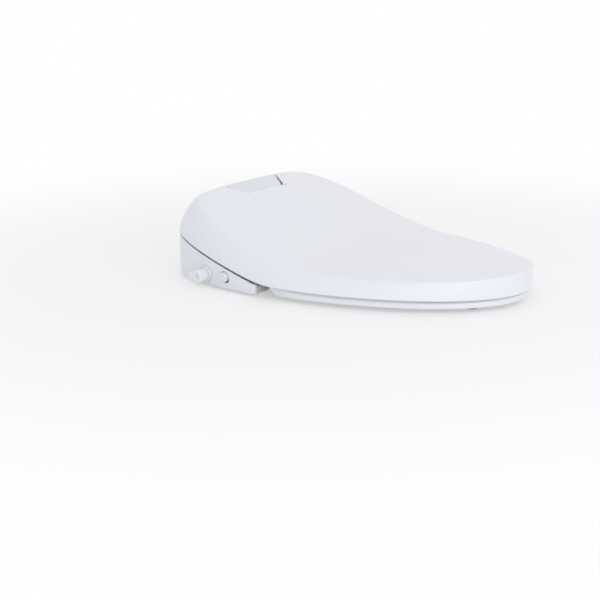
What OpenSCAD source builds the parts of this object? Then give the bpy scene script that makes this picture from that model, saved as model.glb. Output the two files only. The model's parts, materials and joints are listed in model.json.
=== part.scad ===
// Electric bidet seat: a heated seat and a deep lid that turn on one axis, on a water and control
// unit that slides onto a bolted base plate. Millimetres, +X to the front, +Z up. The origin is
// halfway between the two mounting bolts, on the surface the base plate rests on.

/* [Overall] */
// Length from the rear of the unit to the front of the lid
overall_len = 522; // [512:1:534]
// Width of the lid at its widest
overall_w = 390; // [384:1:398]
// Distance from the rear to the widest place
wide_s = 203; // [200:1:206]
// Distance from the rear to the line of the mounting bolts
rear_reach = 70; // [66:1:74]
// Wall of the moulded covers
wall = 2.5; // [2:0.1:3]
// Gap between a moving cover and its neighbour
cover_gap = 2; // [1.5:0.1:2.5]

/* [Lid] */
// Wall of the lid
lid_wall = 3; // [2.6:0.1:3.4]
// Height of the lid's lower edge in front
lid_low = 18.5; // [18:0.5:20]
// Lowest height of the crease round the lid's top
crease_low = 43.4; // [43:0.2:45]
// How much higher the crease is at the rear
crease_rise = 88.2; // [87:0.5:90]
// How much the crease lifts at the tip
tip_lift = 6.4; // [4:0.2:9]
// How far the side wall leans in
side_lean = 17.5; // [16:0.5:19]
// How far the rear corners lean in
rear_lean = 25; // [24:0.5:27]
// How far the crease stands out past the lower edge at the tip
tip_lean = 3.8; // [1:0.2:5]
// Rise of the top from the crease to the middle
dome = 3.4; // [3:0.2:6]
// Extra rise of the top at the rear
rear_dome = 5; // [3:0.5:6]
// Height of the seam between lid and unit at the rear
seam_rear = 72.7; // [72.3:0.2:73.1]
// Fall of the seam, in millimetres a millimetre forward
seam_fall = 0.27; // [0.26:0.005:0.28]

/* [Hinge] */
// Distance from the rear to the hinge axis
hinge_s = 22; // [21.5:0.5:22.5]
// Height of the hinge axis
hinge_z = 95; // [94.5:0.5:95.5]
// Diameter of the hinge shafts
shaft_d = 10; // [9:0.5:11]
// Radial clearance of a shaft in a turning bore
run_fit = 0.06; // [0.03:0.01:0.09]

/* [Seat] */
// Gap between the lid's outer outline and the seat's
seat_inset = 6; // [5.5:0.5:7]
// Height of the seat's underside
seat_low = 9; // [8:0.5:10]
// Gap between the crease and the seat's crown
crown_gap = 9; // [8.5:0.5:10]
// Length of the opening
opening_len = 268; // [260:1:274]
// Width of the opening
opening_w = 208; // [200:1:214]
// Distance from the rear to the rear of the opening
opening_s = 196; // [194:1:199]
// Wall of the seat's shells
seat_wall = 3; // [2.6:0.1:3.4]

/* [Unit] */
// Height of the unit's underside
unit_low = 4; // [3.5:0.5:4.5]
// Distance from the rear to the unit's front wall
front_s = 148; // [147:0.5:148.5]
// Half width of the raised middle of the unit
tower_half = 104; // [103.5:0.5:104.5]
// Height of the top of the nozzle bay
bay_top = 37; // [36.5:0.5:37.5]
// Width of the nozzle bay
bay_w = 110; // [108:1:112]
// Distance from the rear to the front of the nozzle bay
bay_s = 178; // [176:0.5:179]

/* [Mounting] */
// Distance between the two mounting bolts
bolt_spacing = 140; // [136:1:144]
// Diameter of the bolt holes
bolt_hole_d = 8.5; // [8.5:0.1:9]
// Thickness of the base plate
plate_t = 4; // [3.5:0.1:4]
// Width of the base plate
plate_w = 176; // [172:1:178]

/* [Wand] */
// Angle of the wand below the level
wand_tilt = 30; // [29.5:0.5:30.5]
// Diameter of the wand
wand_d = 12; // [11:0.5:12.5]
// Length of the wand
wand_len = 135; // [133:1:137]
// Module of the rack and pinion
gear_module = 1; // [0.9:0.05:1.05]
// Teeth of the pinion
pinion_teeth = 12; // [12:1:13]

/* [Hidden] */
$fn = 48;

nose_p = 1.67;        // exponents of the egg-shaped front outline
nose_q = 1.95;
turn_step = 5;
lid_half = overall_w / 2;
crease_start = -69;   // station where the crease's fall begins, and where it ends
crease_end = 297;
crease_lift_s = 380;  // station where the lift towards the tip begins

seat_front = overall_len - seat_inset;
seat_rear = front_s + 4;
seat_half = lid_half - seat_inset;
seat_clear = 3;       // gap between the seat's rear and the unit's front tips
cross_low = bay_top + 2.5;
arm_in = tower_half + 2;
arm_t = 14;
arm_out = arm_in + arm_t;
arm_r = 10;
ear_in = arm_out + 2;
ear_t = 6;
ear_out = ear_in + ear_t;
ear_r = 8;
skirt_cut_r = 28.4;   // the lid's rear skirt stays inside this radius of the hinge axis
unit_half = lid_half - 1;
tip_s = wide_s - 17;    // station of the tips of the casing's side arms
tower_r = 14.5;

tip_x = 138;          // station and height of the wand's tip at rest
tip_z = 32;
pitch_r = gear_module * pinion_teeth / 2;
rack_pitch_v = -(wand_d / 2 + 5);
pinion_u = -26;
pinion_v = rack_pitch_v - pitch_r;
door_z = bay_top - 3;
door_h = 27;
door_w = 40;

knob_s = 98;
knob_z = 19.5;
button_s = 136;
button_z = 21;
button_r = 7.5;
collar_r = 11.5;
inlet_s = 60;
inlet_z = 24;
nut_r = 12.5;
gland_y = -88;
gland_z = 32;
fan_s = 114;
deo_s = 100;

function mix(a, b, k) = a + (b - a) * k;
function clamp01(x) = min(1, max(0, x));
function seam(s) = seam_rear - seam_fall * s;
function crease_z(s) = crease_low
    + crease_rise * (0.5 + 0.5 * cos(180 * clamp01((s - crease_start) / (crease_end - crease_start))))
    + tip_lift * pow(max(0, (s - crease_lift_s) / (overall_len - crease_lift_s)), 2);

// A soft maximum of the seam line and the lid's level lower edge.
function low_z(s) = let (d = seam(s) - lid_low) lid_low + (d + sqrt(d * d + 36)) / 2;

// Point [s, y] of an egg-shaped outline at turn t, from -90 at its rear to 90 at its front.
function egg(t, front, rear, half, mid = wide_s, pr = 2, qr = 8) = let (f = abs(sin(t)))
    t >= 0 ? [mix(mid, front, f), half * pow(max(0, 1 - pow(f, nose_p)), 1 / nose_q)]
           : [mix(mid, rear, f), half * pow(max(0, 1 - pow(f, pr)), 1 / qr)];

function lid_foot(t, d = 0) = egg(t, overall_len - d, d, lid_half - d);
function lid_crease(t, d = 0) = egg(t, overall_len + tip_lean - d, rear_lean + d, lid_half - side_lean - d);
function seat_egg(t, d = 0) = egg(t, seat_front + d, seat_rear - d, seat_half + d, wide_s, 2, 2.2);
opening_mid = opening_s + opening_len * 0.42;
function opening_egg(t, d = 0) = egg(t, opening_s + opening_len + d, opening_s - d, opening_w / 2 + d,
                                     opening_mid, 2.1, 2.2);

// Half width of the lid's top at a station, without its rear corners.
function top_half(s) = s < wide_s ? (lid_half - side_lean) * (1 - 0.13 * pow((wide_s - s) / wide_s, 2))
    : let (f = clamp01((s - wide_s) / (overall_len + tip_lean - wide_s)))
      (lid_half - side_lean) * pow(max(0, 1 - pow(f, nose_p)), 1 / nose_q);
// Height of the lid's top. Its dome dies out at the sides and towards the tip.
function top_z(s, y) = crease_z(s) + (dome + rear_dome * clamp01(1 - s / 150))
    * (1 - pow(min(1, abs(y) / max(top_half(s), 0.01)), 2))
    * (1 - pow(clamp01((s - 300) / (overall_len + tip_lean - 300)), 4));

// Half outline to closed loop of 3-D points, by mirroring the side where y is positive.
function closed(half_loop) = concat(half_loop,
    [for (i = [len(half_loop) - 2:-1:1]) [half_loop[i][0], -half_loop[i][1], half_loop[i][2]]]);
turns = [for (t = [-90:turn_step:90]) t];

// Share of the lean that the side wall has reached at share mu of its height.
function wall_curve(mu) = 0.22 * mu + 0.78 * mu * mu;
function wall_ring(mu, d, drop) = closed([for (t = turns)
    let (a = lid_foot(t, d), b = lid_crease(t, d), q = mix(a, b, wall_curve(mu)))
    [q[0], q[1], mix(low_z(a[0]), top_z(b[0], b[1]) - drop, mu)]]);
function top_ring(k, d, drop) = closed([for (t = turns)
    let (b = lid_crease(t, d), s = mix(wide_s + 60, b[0], 0.25 + 0.75 * k))
    [s, b[1] * k, top_z(s, b[1] * k) - drop]]);
function lid_side(d, drop) = concat([for (mu = [0, 0.25, 0.5, 0.75, 0.92, 1]) wall_ring(mu, d, drop)],
                                    [for (k = [0.95, 0.8, 0.6, 0.4, 0.2]) top_ring(k, d, drop)]);
function reversed(list) = [for (i = [len(list) - 1:-1:0]) list[i]];

// Triangles that bridge a mirrored loop of n points from one side to the other.
function bridge(first, n) = [for (i = [0:n / 2 - 1]) let (a = first + i, b = first + i + 1,
        c = first + (n - i) % n, d = first + (n - i - 1) % n)
    each (i == 0 ? [[a, b, d]] : i == n / 2 - 1 ? [[a, b, c]] : [[a, b, d], [a, d, c]])];
function flipped(faces) = [for (f = faces) reversed(f)];

// A closed skin through loops of points, bridged over at its first and last loop.
module skin(loops) {
    n = len(loops[0]);
    m = len(loops);
    sides = [for (k = [0:m - 2], i = [0:n - 1]) let (j = (i + 1) % n)
        each [[k * n + i, (k + 1) * n + j, k * n + j], [k * n + i, (k + 1) * n + i, (k + 1) * n + j]]];
    polyhedron([for (l = loops) each l],
               concat(sides, bridge(0, n), flipped(bridge((m - 1) * n, n))));
}

// A ring swept through sections, closed both ways.
module ring_skin(sections) {
    n = len(sections);
    m = len(sections[0]);
    faces = [for (i = [0:n - 1], k = [0:m - 1]) let (j = (i + 1) % n, l = (k + 1) % m)
        each [[i * m + k, j * m + k, j * m + l], [i * m + k, j * m + l, i * m + l]]];
    polyhedron([for (s = sections) each s], faces);
}

// The parts are drawn by their distance from the rear, and this puts the bolt line at zero.
module place() { translate([-rear_reach, 0, 0]) children(); }
module both() {
    children();
    mirror([0, 1, 0]) children();
}
// A side profile [s, z] carried across from y0 to y1.
module across(y0, y1, profile) {
    translate([0, y1, 0]) rotate([90, 0, 0]) linear_extrude(y1 - y0) polygon(profile);
}
module rod_y(s, z, r, y0, y1) { translate([s, y0, z]) rotate([-90, 0, 0]) cylinder(r = r, h = y1 - y0); }
module rod_x(y, z, r, s0, s1) { translate([s0, y, z]) rotate([0, 90, 0]) cylinder(r = r, h = s1 - s0); }
module rod_z(s, y, r, z0, z1) { translate([s, y, z0]) cylinder(r = r, h = z1 - z0); }
module block(s0, s1, y0, y1, z0, z1) { translate([s0, y0, z0]) cube([s1 - s0, y1 - y0, z1 - z0]); }
module on_wand() { translate([tip_x, 0, tip_z]) rotate([0, wand_tilt, 0]) children(); }

// ---- Lid ----

module lid_solid() { skin(concat(reversed(lid_side(0, 0)), lid_side(lid_wall, lid_wall))); }

// Quadratic bend from a past the corner c to b.
function bend(a, c, b) = [for (k = [0:0.25:1]) mix(mix(a, c, k), mix(c, b, k), k)];
panel_s = 30.6;
panel_depth = 29;
panel_rear_half = 60.7;
panel_front_half = 44.4;
panel_slant = (panel_rear_half - panel_front_half) / panel_depth;

// Plan of the panel, or of the notch round it when grown, running back to station s0.
module panel_plan(s0, grow = 0) {
    front = panel_s + panel_depth + grow;
    half = panel_front_half + grow;
    side = bend([front - 8, half + 8 * panel_slant], [front, half], [front, half - 8]);
    right = concat([[s0, half + (front - s0) * panel_slant]], side);
    polygon(concat(right, reversed([for (p = right) [p[0], -p[1]]])));
}

module lid_shell() color("white") place() difference() {
    union() {
        lid_solid();
        both() rod_y(hinge_s, hinge_z, ear_r, ear_in, ear_out);
    }
    // Open rear between the two corner skirts.
    across(-ear_in + 0.01, ear_in - 0.01, [[-20, 20], [hinge_s, 20], [hinge_s, 150], [-20, 150]]);
    // The corner skirts are cut round the hinge axis, so that they clear the unit as they turn.
    both() translate([hinge_s, lid_half, hinge_z]) rotate([90, 0, 0]) linear_extrude(lid_half - ear_in)
        difference() {
            translate([-60, -60]) square([60, 60]);
            circle(r = skirt_cut_r);
        }
    // Notch round the panel. Its rear corners are cut round the axis, to pass over the panel's.
    translate([0, 0, hinge_z - 5]) linear_extrude(60) panel_plan(-20, cover_gap);
    rod_y(hinge_s, hinge_z, 30.4, -panel_rear_half - cover_gap, panel_rear_half + cover_gap);
    both() rod_y(hinge_s, hinge_z, shaft_d / 2 + run_fit, ear_in - 1, ear_out - 1);
}

// Middle of the ring at turn t.
function ring_middle(t) = mix(opening_egg(t), seat_egg(t), 0.5);
bumper_places = [for (t = [10, 58]) ring_middle(t)];
module lid_bumpers() color("gainsboro") place() both() for (p = bumper_places) {
    rod_z(p[0], p[1], 6, seat_top(p[0]) + 0.3, top_z(p[0], p[1] + 6) - lid_wall - 0.3);
}

// ---- Seat ----

function smooth(x) = x * x * (3 - 2 * x);
function seat_top(s) = crease_z(s) - crown_gap;
function seat_bottom(s) = mix(seat_low, cross_low, smooth(clamp01((opening_s + 30 - s) / 30)));

// How far the lid's side wall has leaned in at height z.
function lean_in(s, z) =
    side_lean * wall_curve(clamp01((z - low_z(s)) / (crease_z(s) - lid_wall - low_z(s))));

// Section of the ring at turn t. Each profile entry is [share of the width from the opening out,
// millimetres further out, share of the height, millimetres further up]. The outer side leans in
// with the lid.
function ring_section(t, side, profile) = let (a = opening_egg(t), b = seat_egg(t), w = norm(b - a))
    [for (p = profile) let (
        s = mix(a, b, p[0] + p[1] / w)[0],
        z = mix(seat_bottom(s), seat_top(s), p[2]) + p[3],
        q = mix(a, b, p[0] + (p[1] - (p[0] == 1 ? lean_in(s, z) : 0)) / w)
    ) [q[0], side * q[1], z]];
function ring_sections(profile, first = -90) = concat(
    [for (t = [first:turn_step:90]) ring_section(t, 1, profile)],
    [for (t = [90 - turn_step:-turn_step:first + (first == -90 ? 1 : 0)]) ring_section(t, -1, profile)]);

lip = 2 + seat_wall;  // width of the ledge under the opening's edge, that the base closes against
upper_profile = [
    [1, -6, 0, 0], [1, -1.6, 0.35, 0], [1, -2.8, 0.62, 0], [1, -5.6, 0.86, 0], [1, -11, 0.97, 0],
    [0.62, 0, 1, 0], [0.3, 0, 0.9, 0], [0, 7, 0.72, 0], [0, 1.5, 0.58, 0], [0, 0, 0.4, 0],
    [0, 2, 0, seat_wall], [0, lip, 0, seat_wall], [0, lip, 0.55, 0.6 - seat_wall],
    [0, 5 + lip, 0.72, -seat_wall], [0.3, 0, 0.9, -seat_wall], [0.62, 0, 1, -seat_wall],
    [1, -11 - seat_wall, 0.97, -seat_wall], [1, -6.6 - seat_wall, 0.84, -seat_wall],
    [1, -3 - seat_wall, 0.6, 0], [1, -1.8 - seat_wall, 0.36, 0], [1, -6 - seat_wall, 0, 0],
];
base_top = seat_wall - 1;
base_profile = [
    [1, -6.4 - seat_wall, 0, 0], [1, -6.4 - seat_wall, 0, base_top], [0.66, 0, 0, base_top],
    [0.33, 0, 0, base_top], [0, lip, 0, base_top], [0, 2, 0, base_top], [0, 2, 0, 0],
    [0.33, 0, 0, 0], [0.66, 0, 0, 0],
];
heater_top = -seat_wall - 1.2;
heater_profile = [[0.3, 0, 0.9, heater_top - 0.8], [0.62, 0, 1, heater_top - 0.8],
                  [1, -23, 0.97, heater_top - 1], [1, -23, 0.97, heater_top - 0.2],
                  [0.62, 0, 1, heater_top], [0.3, 0, 0.9, heater_top]];

module seat_arm() {
    across(arm_in, arm_out, [[hinge_s - 2, hinge_z - 9.8], [front_s + 2, cross_low + 1.5],
        [seat_rear + 20, cross_low + 4], [seat_rear + 20, cross_low + 12], [front_s + 2, seat_top(front_s) - 5],
        [hinge_s + 2.5, hinge_z + 9.6]]);
    rod_y(hinge_s, hinge_z, arm_r, arm_in, arm_out);
}

module seat_upper_shell() color("white") place() difference() {
    union() {
        ring_skin(ring_sections(upper_profile));
        both() seat_arm();
    }
    both() rod_y(hinge_s, hinge_z, shaft_d / 2 + run_fit, arm_in - 1, arm_out + 1);
}

module seat_base() color("whitesmoke") place() ring_skin(ring_sections(base_profile));

// A strip swept through sections, with flat ends.
module strip_skin(sections) {
    n = len(sections);
    m = len(sections[0]);
    faces = [for (i = [0:n - 2], k = [0:m - 1]) let (j = i + 1, l = (k + 1) % m)
        each [[i * m + k, j * m + k, j * m + l], [i * m + k, j * m + l, i * m + l]]];
    ends = [[for (k = [0:m - 1]) k], [for (k = [m - 1:-1:0]) (n - 1) * m + k]];
    polyhedron([for (s = sections) each s], concat(faces, ends));
}
module seat_heater() color("orange") place() strip_skin(ring_sections(heater_profile, -30));

sensor_s = ring_middle(0)[0];
sensor_y = ring_middle(0)[1];
sensor_z = seat_low + base_top + 0.3;
module occupancy_sensor() color("darkgreen") place()
    block(sensor_s, sensor_s + 40, -sensor_y - 7, -sensor_y + 7, sensor_z, sensor_z + 3);

foot_places = [for (t = [-4, 66]) ring_middle(t)];
module seat_bumpers() color("lightgray") place() both() for (p = foot_places) {
    rod_z(p[0], p[1], 9, 1.2, seat_low);
    translate([p[0], p[1], 0]) cylinder(r1 = 7.5, r2 = 9, h = 1.2);
}

// ---- Casing of the unit ----

function unit_foot(t, d = 0) = egg(t, overall_len, d, unit_half - d);
outer_turn = -asin((wide_s - tip_s) / wide_s);
tip_outer = unit_foot(outer_turn)[1];
tip_turn = -asin((wide_s - tip_s) / (wide_s - seat_rear + seat_clear));
tip_inner = seat_egg(tip_turn, seat_clear)[1];
function unit_side(d) = concat(
    [for (t = [-90:turn_step:outer_turn]) unit_foot(t, d)],
    [for (a = [75:-30:-75]) [tip_s, (tip_outer + tip_inner) / 2]
        + ((tip_outer - tip_inner) / 2 - d) * [cos(a), sin(a)]],
    [for (t = [tip_turn:-8:-72]) seat_egg(t, seat_clear + d)],
    [[front_s - d, bay_w / 2 + 3], [front_s - d, 0]]);

// Half width of the unit's side wall at a station.
function unit_wall(s) = unit_half * pow(1 - pow((wide_s - s) / wide_s, 2), 1 / 8);
module unit_plan(d) {
    side = unit_side(d);
    polygon(concat(side, [for (i = [len(side) - 2:-1:1]) [side[i][0], -side[i][1]]]));
}

pocket_half = plate_w / 2 + 7;
pocket_top = 11;
roof = pocket_top + wall;
screw_places = [[30, 125], [70, 140], [135, 150]];
post_places = [[22, 34], [22, 96], [88.5, 34], [88.5, 96]];
board_z = 62;

module above_seam(drop) {
    across(-lid_half, lid_half, [[-30, seam(-30) - drop], [220, seam(220) - drop], [220, 250], [-30, 250]]);
}

channel_half = pocket_half + wall;

// Channel that slides over the base plate. It is open at the rear, and its lips run under the
// plate's rails. Posts on its roof carry the two circuit boards.
module slide_channel() color("white") place() {
    difference() {
        block(0.6, front_s - wall, -channel_half, channel_half, unit_low, roof);
        block(-1, front_s - wall - 2, -plate_w / 2 - 1.5, plate_w / 2 + 1.5, 0, pocket_top);
        block(-1, front_s - wall - 2, -pocket_half, pocket_half, unit_low + wall, pocket_top);
    }
    both() for (p = post_places) rod_z(p[0], p[1], 2.5, roof - 0.5, board_z);
}

module lower_casing() color("white") place() {
    difference() {
        translate([0, 0, unit_low]) linear_extrude(90) unit_plan(0);
        translate([0, 0, unit_low + wall]) linear_extrude(90) unit_plan(wall);
        above_seam(cover_gap);
        // Place of the slide channel.
        block(-1, front_s - wall, -channel_half, channel_half, 0, roof);
        // Front opening for the wand, the dryer and the odour intake.
        block(front_s - wall - 1, front_s + 1, -bay_w / 2 + wall, bay_w / 2 - wall, roof, 60);
        block(front_s - wall - 1, front_s + 1, -6, 6, 10, 60);
        // Side openings for the drain valve, the button, the cartridge and the water inlet.
        rod_y(knob_s, knob_z, collar_r + 0.3, -lid_half, -150);
        rod_y(button_s, button_z, button_r + 0.4, -lid_half, -160);
        block(deo_s - 15.5, deo_s + 15.5, 150, lid_half, 10.5, 31.5);
        rod_y(inlet_s, inlet_z, nut_r + 0.3, 150, lid_half);
        rod_x(gland_y, gland_z, 7.2, -2, 8);
        both() for (p = screw_places) rod_z(p[0], p[1], 1.6, 0, 20);
    }
}

function tower_top(s) = crease_z(s) - lid_wall - 3;
function tower_profile(d, floor_z) = concat(
    [[hinge_s - tower_r + d, floor_z]],
    [for (a = [200:-15:80]) [hinge_s, hinge_z] + (tower_r - d) * [cos(a), sin(a)]],
    [for (s = [38:22:126]) [s, tower_top(s) - d]],
    [[front_s - d, tower_top(front_s) - d], [front_s - d, floor_z]]);
island_profile = [[10, 100], [10, 104], [14, 113], [22, 121], [panel_s, 123.6 - 2.6],
                  [panel_s + panel_depth, 110.6 - 2.6], [panel_s + panel_depth, 90], [20, 90]];
panel_top = [[panel_s, 123.6], [panel_s + panel_depth, 110.6]];

module island(d) intersection() {
    across(-panel_rear_half, panel_rear_half, [for (p = island_profile) p - [0, d]]);
    translate([0, 0, 60]) linear_extrude(80) panel_plan(6 + d, -d);
}

module upper_casing() color("white") place() difference() {
    union() {
        intersection() {
            across(-tower_half, tower_half, tower_profile(0, 20));
            union() {
                above_seam(cover_gap - 0.3);
                intersection() {
                    above_seam(6);
                    block(0, front_s - wall - 0.3, -tower_half, tower_half, 20, 90);
                }
                block(0, 12, -tower_half, tower_half, 60, 90);
            }
        }
        // Ledge that rests behind the lower casing's rear wall.
        block(4, hinge_s - tower_r + 1, -tower_half + 20, tower_half - 20, 66, 68);
        island(0);
    }
    across(-tower_half + wall, tower_half - wall, tower_profile(wall, 10));
    island(wall);
    both() rod_y(hinge_s, hinge_z, shaft_d / 2 + 0.5, tower_half - 5, tower_half + 1);
    block(front_s - wall - 1, front_s + 1, -14, 14, 20, bay_top + 0.2);
}

// Sloping cover between the tower and the casing's side wall.
module side_deck() intersection() {
    difference() {
        above_seam(6);
        above_seam(6 - wall);
        block(-10, 250, -250, tower_half + 0.2, -10, 200);
    }
    linear_extrude(120) unit_plan(wall + 0.2);
}
module side_deck_left() color("white") place() side_deck();
module side_deck_right() color("white") place() mirror([0, 1, 0]) side_deck();

module indicator_panel() color("lightsteelblue") place() intersection() {
    across(-80, 80, concat([for (p = panel_top) p - [0, 2.4]], reversed(panel_top)));
    translate([0, 0, 60]) linear_extrude(80) panel_plan(panel_s);
}

display_ends = [for (k = [0.14, 0.82]) mix(panel_top[0], panel_top[1], k)];
module display_board() color("darkgreen") place() across(-38, 38,
    concat([for (p = display_ends) p - [0, 7.2]], reversed([for (p = display_ends) p - [0, 5.6]])));

foot_s = tip_s - 18;
foot_turn = -asin((wide_s - foot_s) / (wide_s - seat_rear + seat_clear));
foot_y = (unit_wall(foot_s) + seat_egg(foot_turn, seat_clear)[1]) / 2;
module unit_feet() color("lightgray") place() both() rod_z(foot_s, foot_y, 6, 0, unit_low);

module casing_screws() color("silver") place() both() for (p = screw_places) {
    rod_z(p[0], p[1], 3, unit_low - 1.4, unit_low);
    rod_z(p[0], p[1], 1.5, unit_low - 0.1, unit_low + wall + 3);
}

// The bay in front of the unit, that the wand, the warm air and the odour intake open into.
module nozzle_bay() color("white") place() difference() {
    half = bay_w / 2;
    union() {
        difference() {
            block(front_s + 0.2, bay_s, -half, half, unit_low, bay_top);
            block(front_s, bay_s + 1, -half + wall, half - wall, unit_low + wall, bay_top - wall);
            // Slot in the floor for the wand, and the doorway in the roof.
            block(front_s + 8, bay_s + 1, -11, 11, 0, 10);
            block(bay_s - 6, bay_s + 1, -door_w / 2 - 0.5, door_w / 2 + 0.5, 20, 60);
            // Room for the wand where the bay meets the front wall.
            block(front_s - 1, front_s + 8, -14, 14, 20, bay_top - 1.2);
        }
        // Lugs that hold the door's pin.
        both() block(bay_s - 5, bay_s, door_w / 2 + 0.6, door_w / 2 + 3.6, door_z - 3, bay_top - 0.5);
        // Louvres over the odour intake, and the post that carries them.
        for (z = [10, 16, 22, 28]) block(bay_s - 5, bay_s - 2, 24, half - 1, z, z + 1.4);
        block(bay_s - 6, bay_s - 1, 23.7, 25, unit_low + 1, bay_top - 1);
    }
    rod_y(bay_s - 2, door_z, 1.52, -door_w / 2 - 5, door_w / 2 + 5);
}

module door_pin() color("silver") place() rod_y(bay_s - 2, door_z, 1.5, -door_w / 2 - 3.5, door_w / 2 + 3.5);

module nozzle_door() color("white") place() difference() {
    union() {
        block(bay_s - 1, bay_s + 1.2, -door_w / 2, door_w / 2, door_z - door_h, door_z);
        rod_y(bay_s - 2, door_z, 2.6, -door_w / 2, door_w / 2);
    }
    rod_y(bay_s - 2, door_z, 1.5 + run_fit, -door_w, door_w);
}

// ---- Mounting ----

neck_r = bolt_hole_d / 2 + 2;  // neck of a bolt carrier, that stands in the plate's slot
slot_r = neck_r + 0.3;
module base_plate() color("lightgray") place() difference() {
    union() {
        block(18, 138, -plate_w / 2, plate_w / 2, 0, plate_t);
        both() block(18, 138, plate_w / 2 - 4, plate_w / 2, 0, pocket_top - 0.6);
        both() block(18, 138, plate_w / 2 - 4, pocket_half - 1, unit_low + wall + 1, pocket_top - 0.6);
        // Stiffening ribs.
        for (y = [-28, 28]) block(24, 132, y - 1.5, y + 1.5, 0, pocket_top - 2);
    }
    // Slots that let the bolts be set to the bowl.
    both() {
        for (s = [-10, 10]) rod_z(rear_reach + s, bolt_spacing / 2, slot_r, -1, 8);
        block(rear_reach - 10, rear_reach + 10, bolt_spacing / 2 - slot_r, bolt_spacing / 2 + slot_r, -1, 8);
    }
    block(50, 90, -16, 16, -1, 8);
}

module bolt_carriers() color("dimgray") place() both() difference() {
    union() {
        rod_z(rear_reach, bolt_spacing / 2, neck_r, 0, plate_t + 1);
        rod_z(rear_reach, bolt_spacing / 2, neck_r + 6, plate_t, plate_t + 3);
        rod_z(rear_reach, bolt_spacing / 2, neck_r + 2, plate_t + 2, plate_t + 4.5);
    }
    rod_z(rear_reach, bolt_spacing / 2, bolt_hole_d / 2, -1, 20);
}

// ---- Hinge line ----

bracket_out = tower_half - wall - 0.2;
module hinge_brackets() color("silver") place() both() difference() {
    union() {
        across(bracket_out - 5, bracket_out, [[12, 66], [46, 66], [30, 96], [13, 96]]);
        rod_y(hinge_s, hinge_z, 10.5, bracket_out - 8, bracket_out);
    }
    rod_y(hinge_s, hinge_z, shaft_d / 2 + 0.02, bracket_out - 10, bracket_out + 5);
    rod_y(34, 74, 2.2, bracket_out - 10, bracket_out + 5);
}
module hinge_shafts() color("silver") place() 
    both() rod_y(hinge_s, hinge_z, shaft_d / 2, bracket_out - 12, ear_out - 2);
module damper() {
    rod_y(hinge_s, hinge_z, 10.5, bracket_out - 54, bracket_out - 16);
    rod_y(hinge_s, hinge_z, 4, bracket_out - 17, bracket_out - 12.2);
}
module seat_damper() color("dimgray") place() damper();
module lid_damper() color("dimgray") place() mirror([0, 1, 0]) damper();

// ---- Water ----

inlet_wall = unit_wall(inlet_s);
module water_inlet() color("silver") place() difference() {
    union() {
        rod_y(inlet_s, inlet_z, 10.3, inlet_wall, inlet_wall + 23);
        rod_y(inlet_s, inlet_z, nut_r, inlet_wall - 9, inlet_wall + 7);
        rod_y(inlet_s, inlet_z, 6, 96.3, inlet_wall - 8);
    }
    rod_y(inlet_s, inlet_z, 4.5, 110, inlet_wall + 24);
}

module solenoid_valve() color("white") place() {
    block(44, 76, 72, 96, roof + 0.3, 34);
    rod_z(60, 84, 9, 33, 50);
    block(53, 67, 78, 90, 49, 53);
}

module flow_pump() color("dimgray") place() {
    rod_x(45, 32, 15, 28, 62);
    rod_x(45, 32, 9, 61, 76);
    block(32, 58, 36, 54, roof + 0.3, 20);
}

module water_heater() color("silver") place() {
    block(26, 84, -96, -40, roof + 0.3, 46);
    for (s = [38, 72]) rod_z(s, -68, 5, 45, 52);
    block(30, 80, -90, -46, 45.9, 48);
}

module vacuum_breaker() color("whitesmoke") place() {
    rod_z(105, 85, 9, roof + 0.3, 44);
    rod_z(105, 85, 11, 43, 50);
    rod_z(105, 85, 4, 49, 56);
}

module water_pipes() color("lightgray") place() {
    rod_y(50, 32, 3, -39.7, 29.8);
    rod_y(52, 26, 3, 60, 71.7);
    translate([76.3, 88, 24]) rotate([0, 90, 0]) cylinder(r = 3, h = 19.6);
}

// ---- Electrics ----

module board(s0, s1, y0, y1) {
    difference() {
        block(s0, s1, y0, y1, board_z + 0.2, board_z + 1.8);
        for (p = post_places) rod_z(p[0], (y0 > 0 ? 1 : -1) * p[1], 1.6, 0, 100);
    }
}
module control_board() color("darkgreen") place() {
    board(18, 92, 30, 99);
    block(44, 62, 60, 78, board_z + 1.7, board_z + 4);
    block(70, 90, 54, 90, board_z + 1.7, board_z + 10);
    for (y = [44, 58, 72]) block(24, 29, y, y + 8, board_z + 1.7, board_z + 8);
}
module power_board() color("darkgreen") place() {
    board(18, 92, -99, -30);
    block(40, 66, -84, -58, board_z + 1.7, board_z + 20);
    for (y = [-90, -72, -52]) rod_z(80, y, 6, board_z + 1.7, board_z + 14);
}
module power_gland() color("lightgray") place() difference() {
    union() {
        rod_x(gland_y, gland_z, 10, -4, -0.2);
        rod_x(gland_y, gland_z, 7, -6, 16);
    }
    rod_x(gland_y, gland_z, 3.6, -7, 12);
}

// ---- Drain valve, on the right side ----

knob_wall = unit_wall(knob_s);
module drain_valve() color("whitesmoke") place() difference() {
    union() {
        rod_y(knob_s, knob_z, collar_r, -knob_wall - 5, -knob_wall + 10);
        rod_y(knob_s, knob_z, 8, -knob_wall + 9, -150);
        rod_y(knob_s, knob_z, 5, -151, -112);
    }
    rod_y(knob_s, knob_z, 4 + run_fit, -knob_wall - 6, -163);
}
module drain_knob() color("white") place() difference() {
    union() {
        rod_y(knob_s, knob_z, 9, -knob_wall - 22, -knob_wall - 5.3);
        rod_y(knob_s, knob_z, 4, -knob_wall - 6, -165);
    }
    // Cross slot in the end.
    for (turn = [0, 90]) translate([knob_s, -knob_wall - 22, knob_z]) rotate([0, turn, 0])
        cube([9, 3, 1.8], center = true);
    // Grip flutes.
    for (turn = [0:30:330]) translate([knob_s, -knob_wall - 8, knob_z]) rotate([0, turn, 0])
        translate([9.6, 0, 0]) rotate([90, 0, 0]) cylinder(r = 1.1, h = 11);
}

// ---- Release button, on the right side ----

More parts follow.
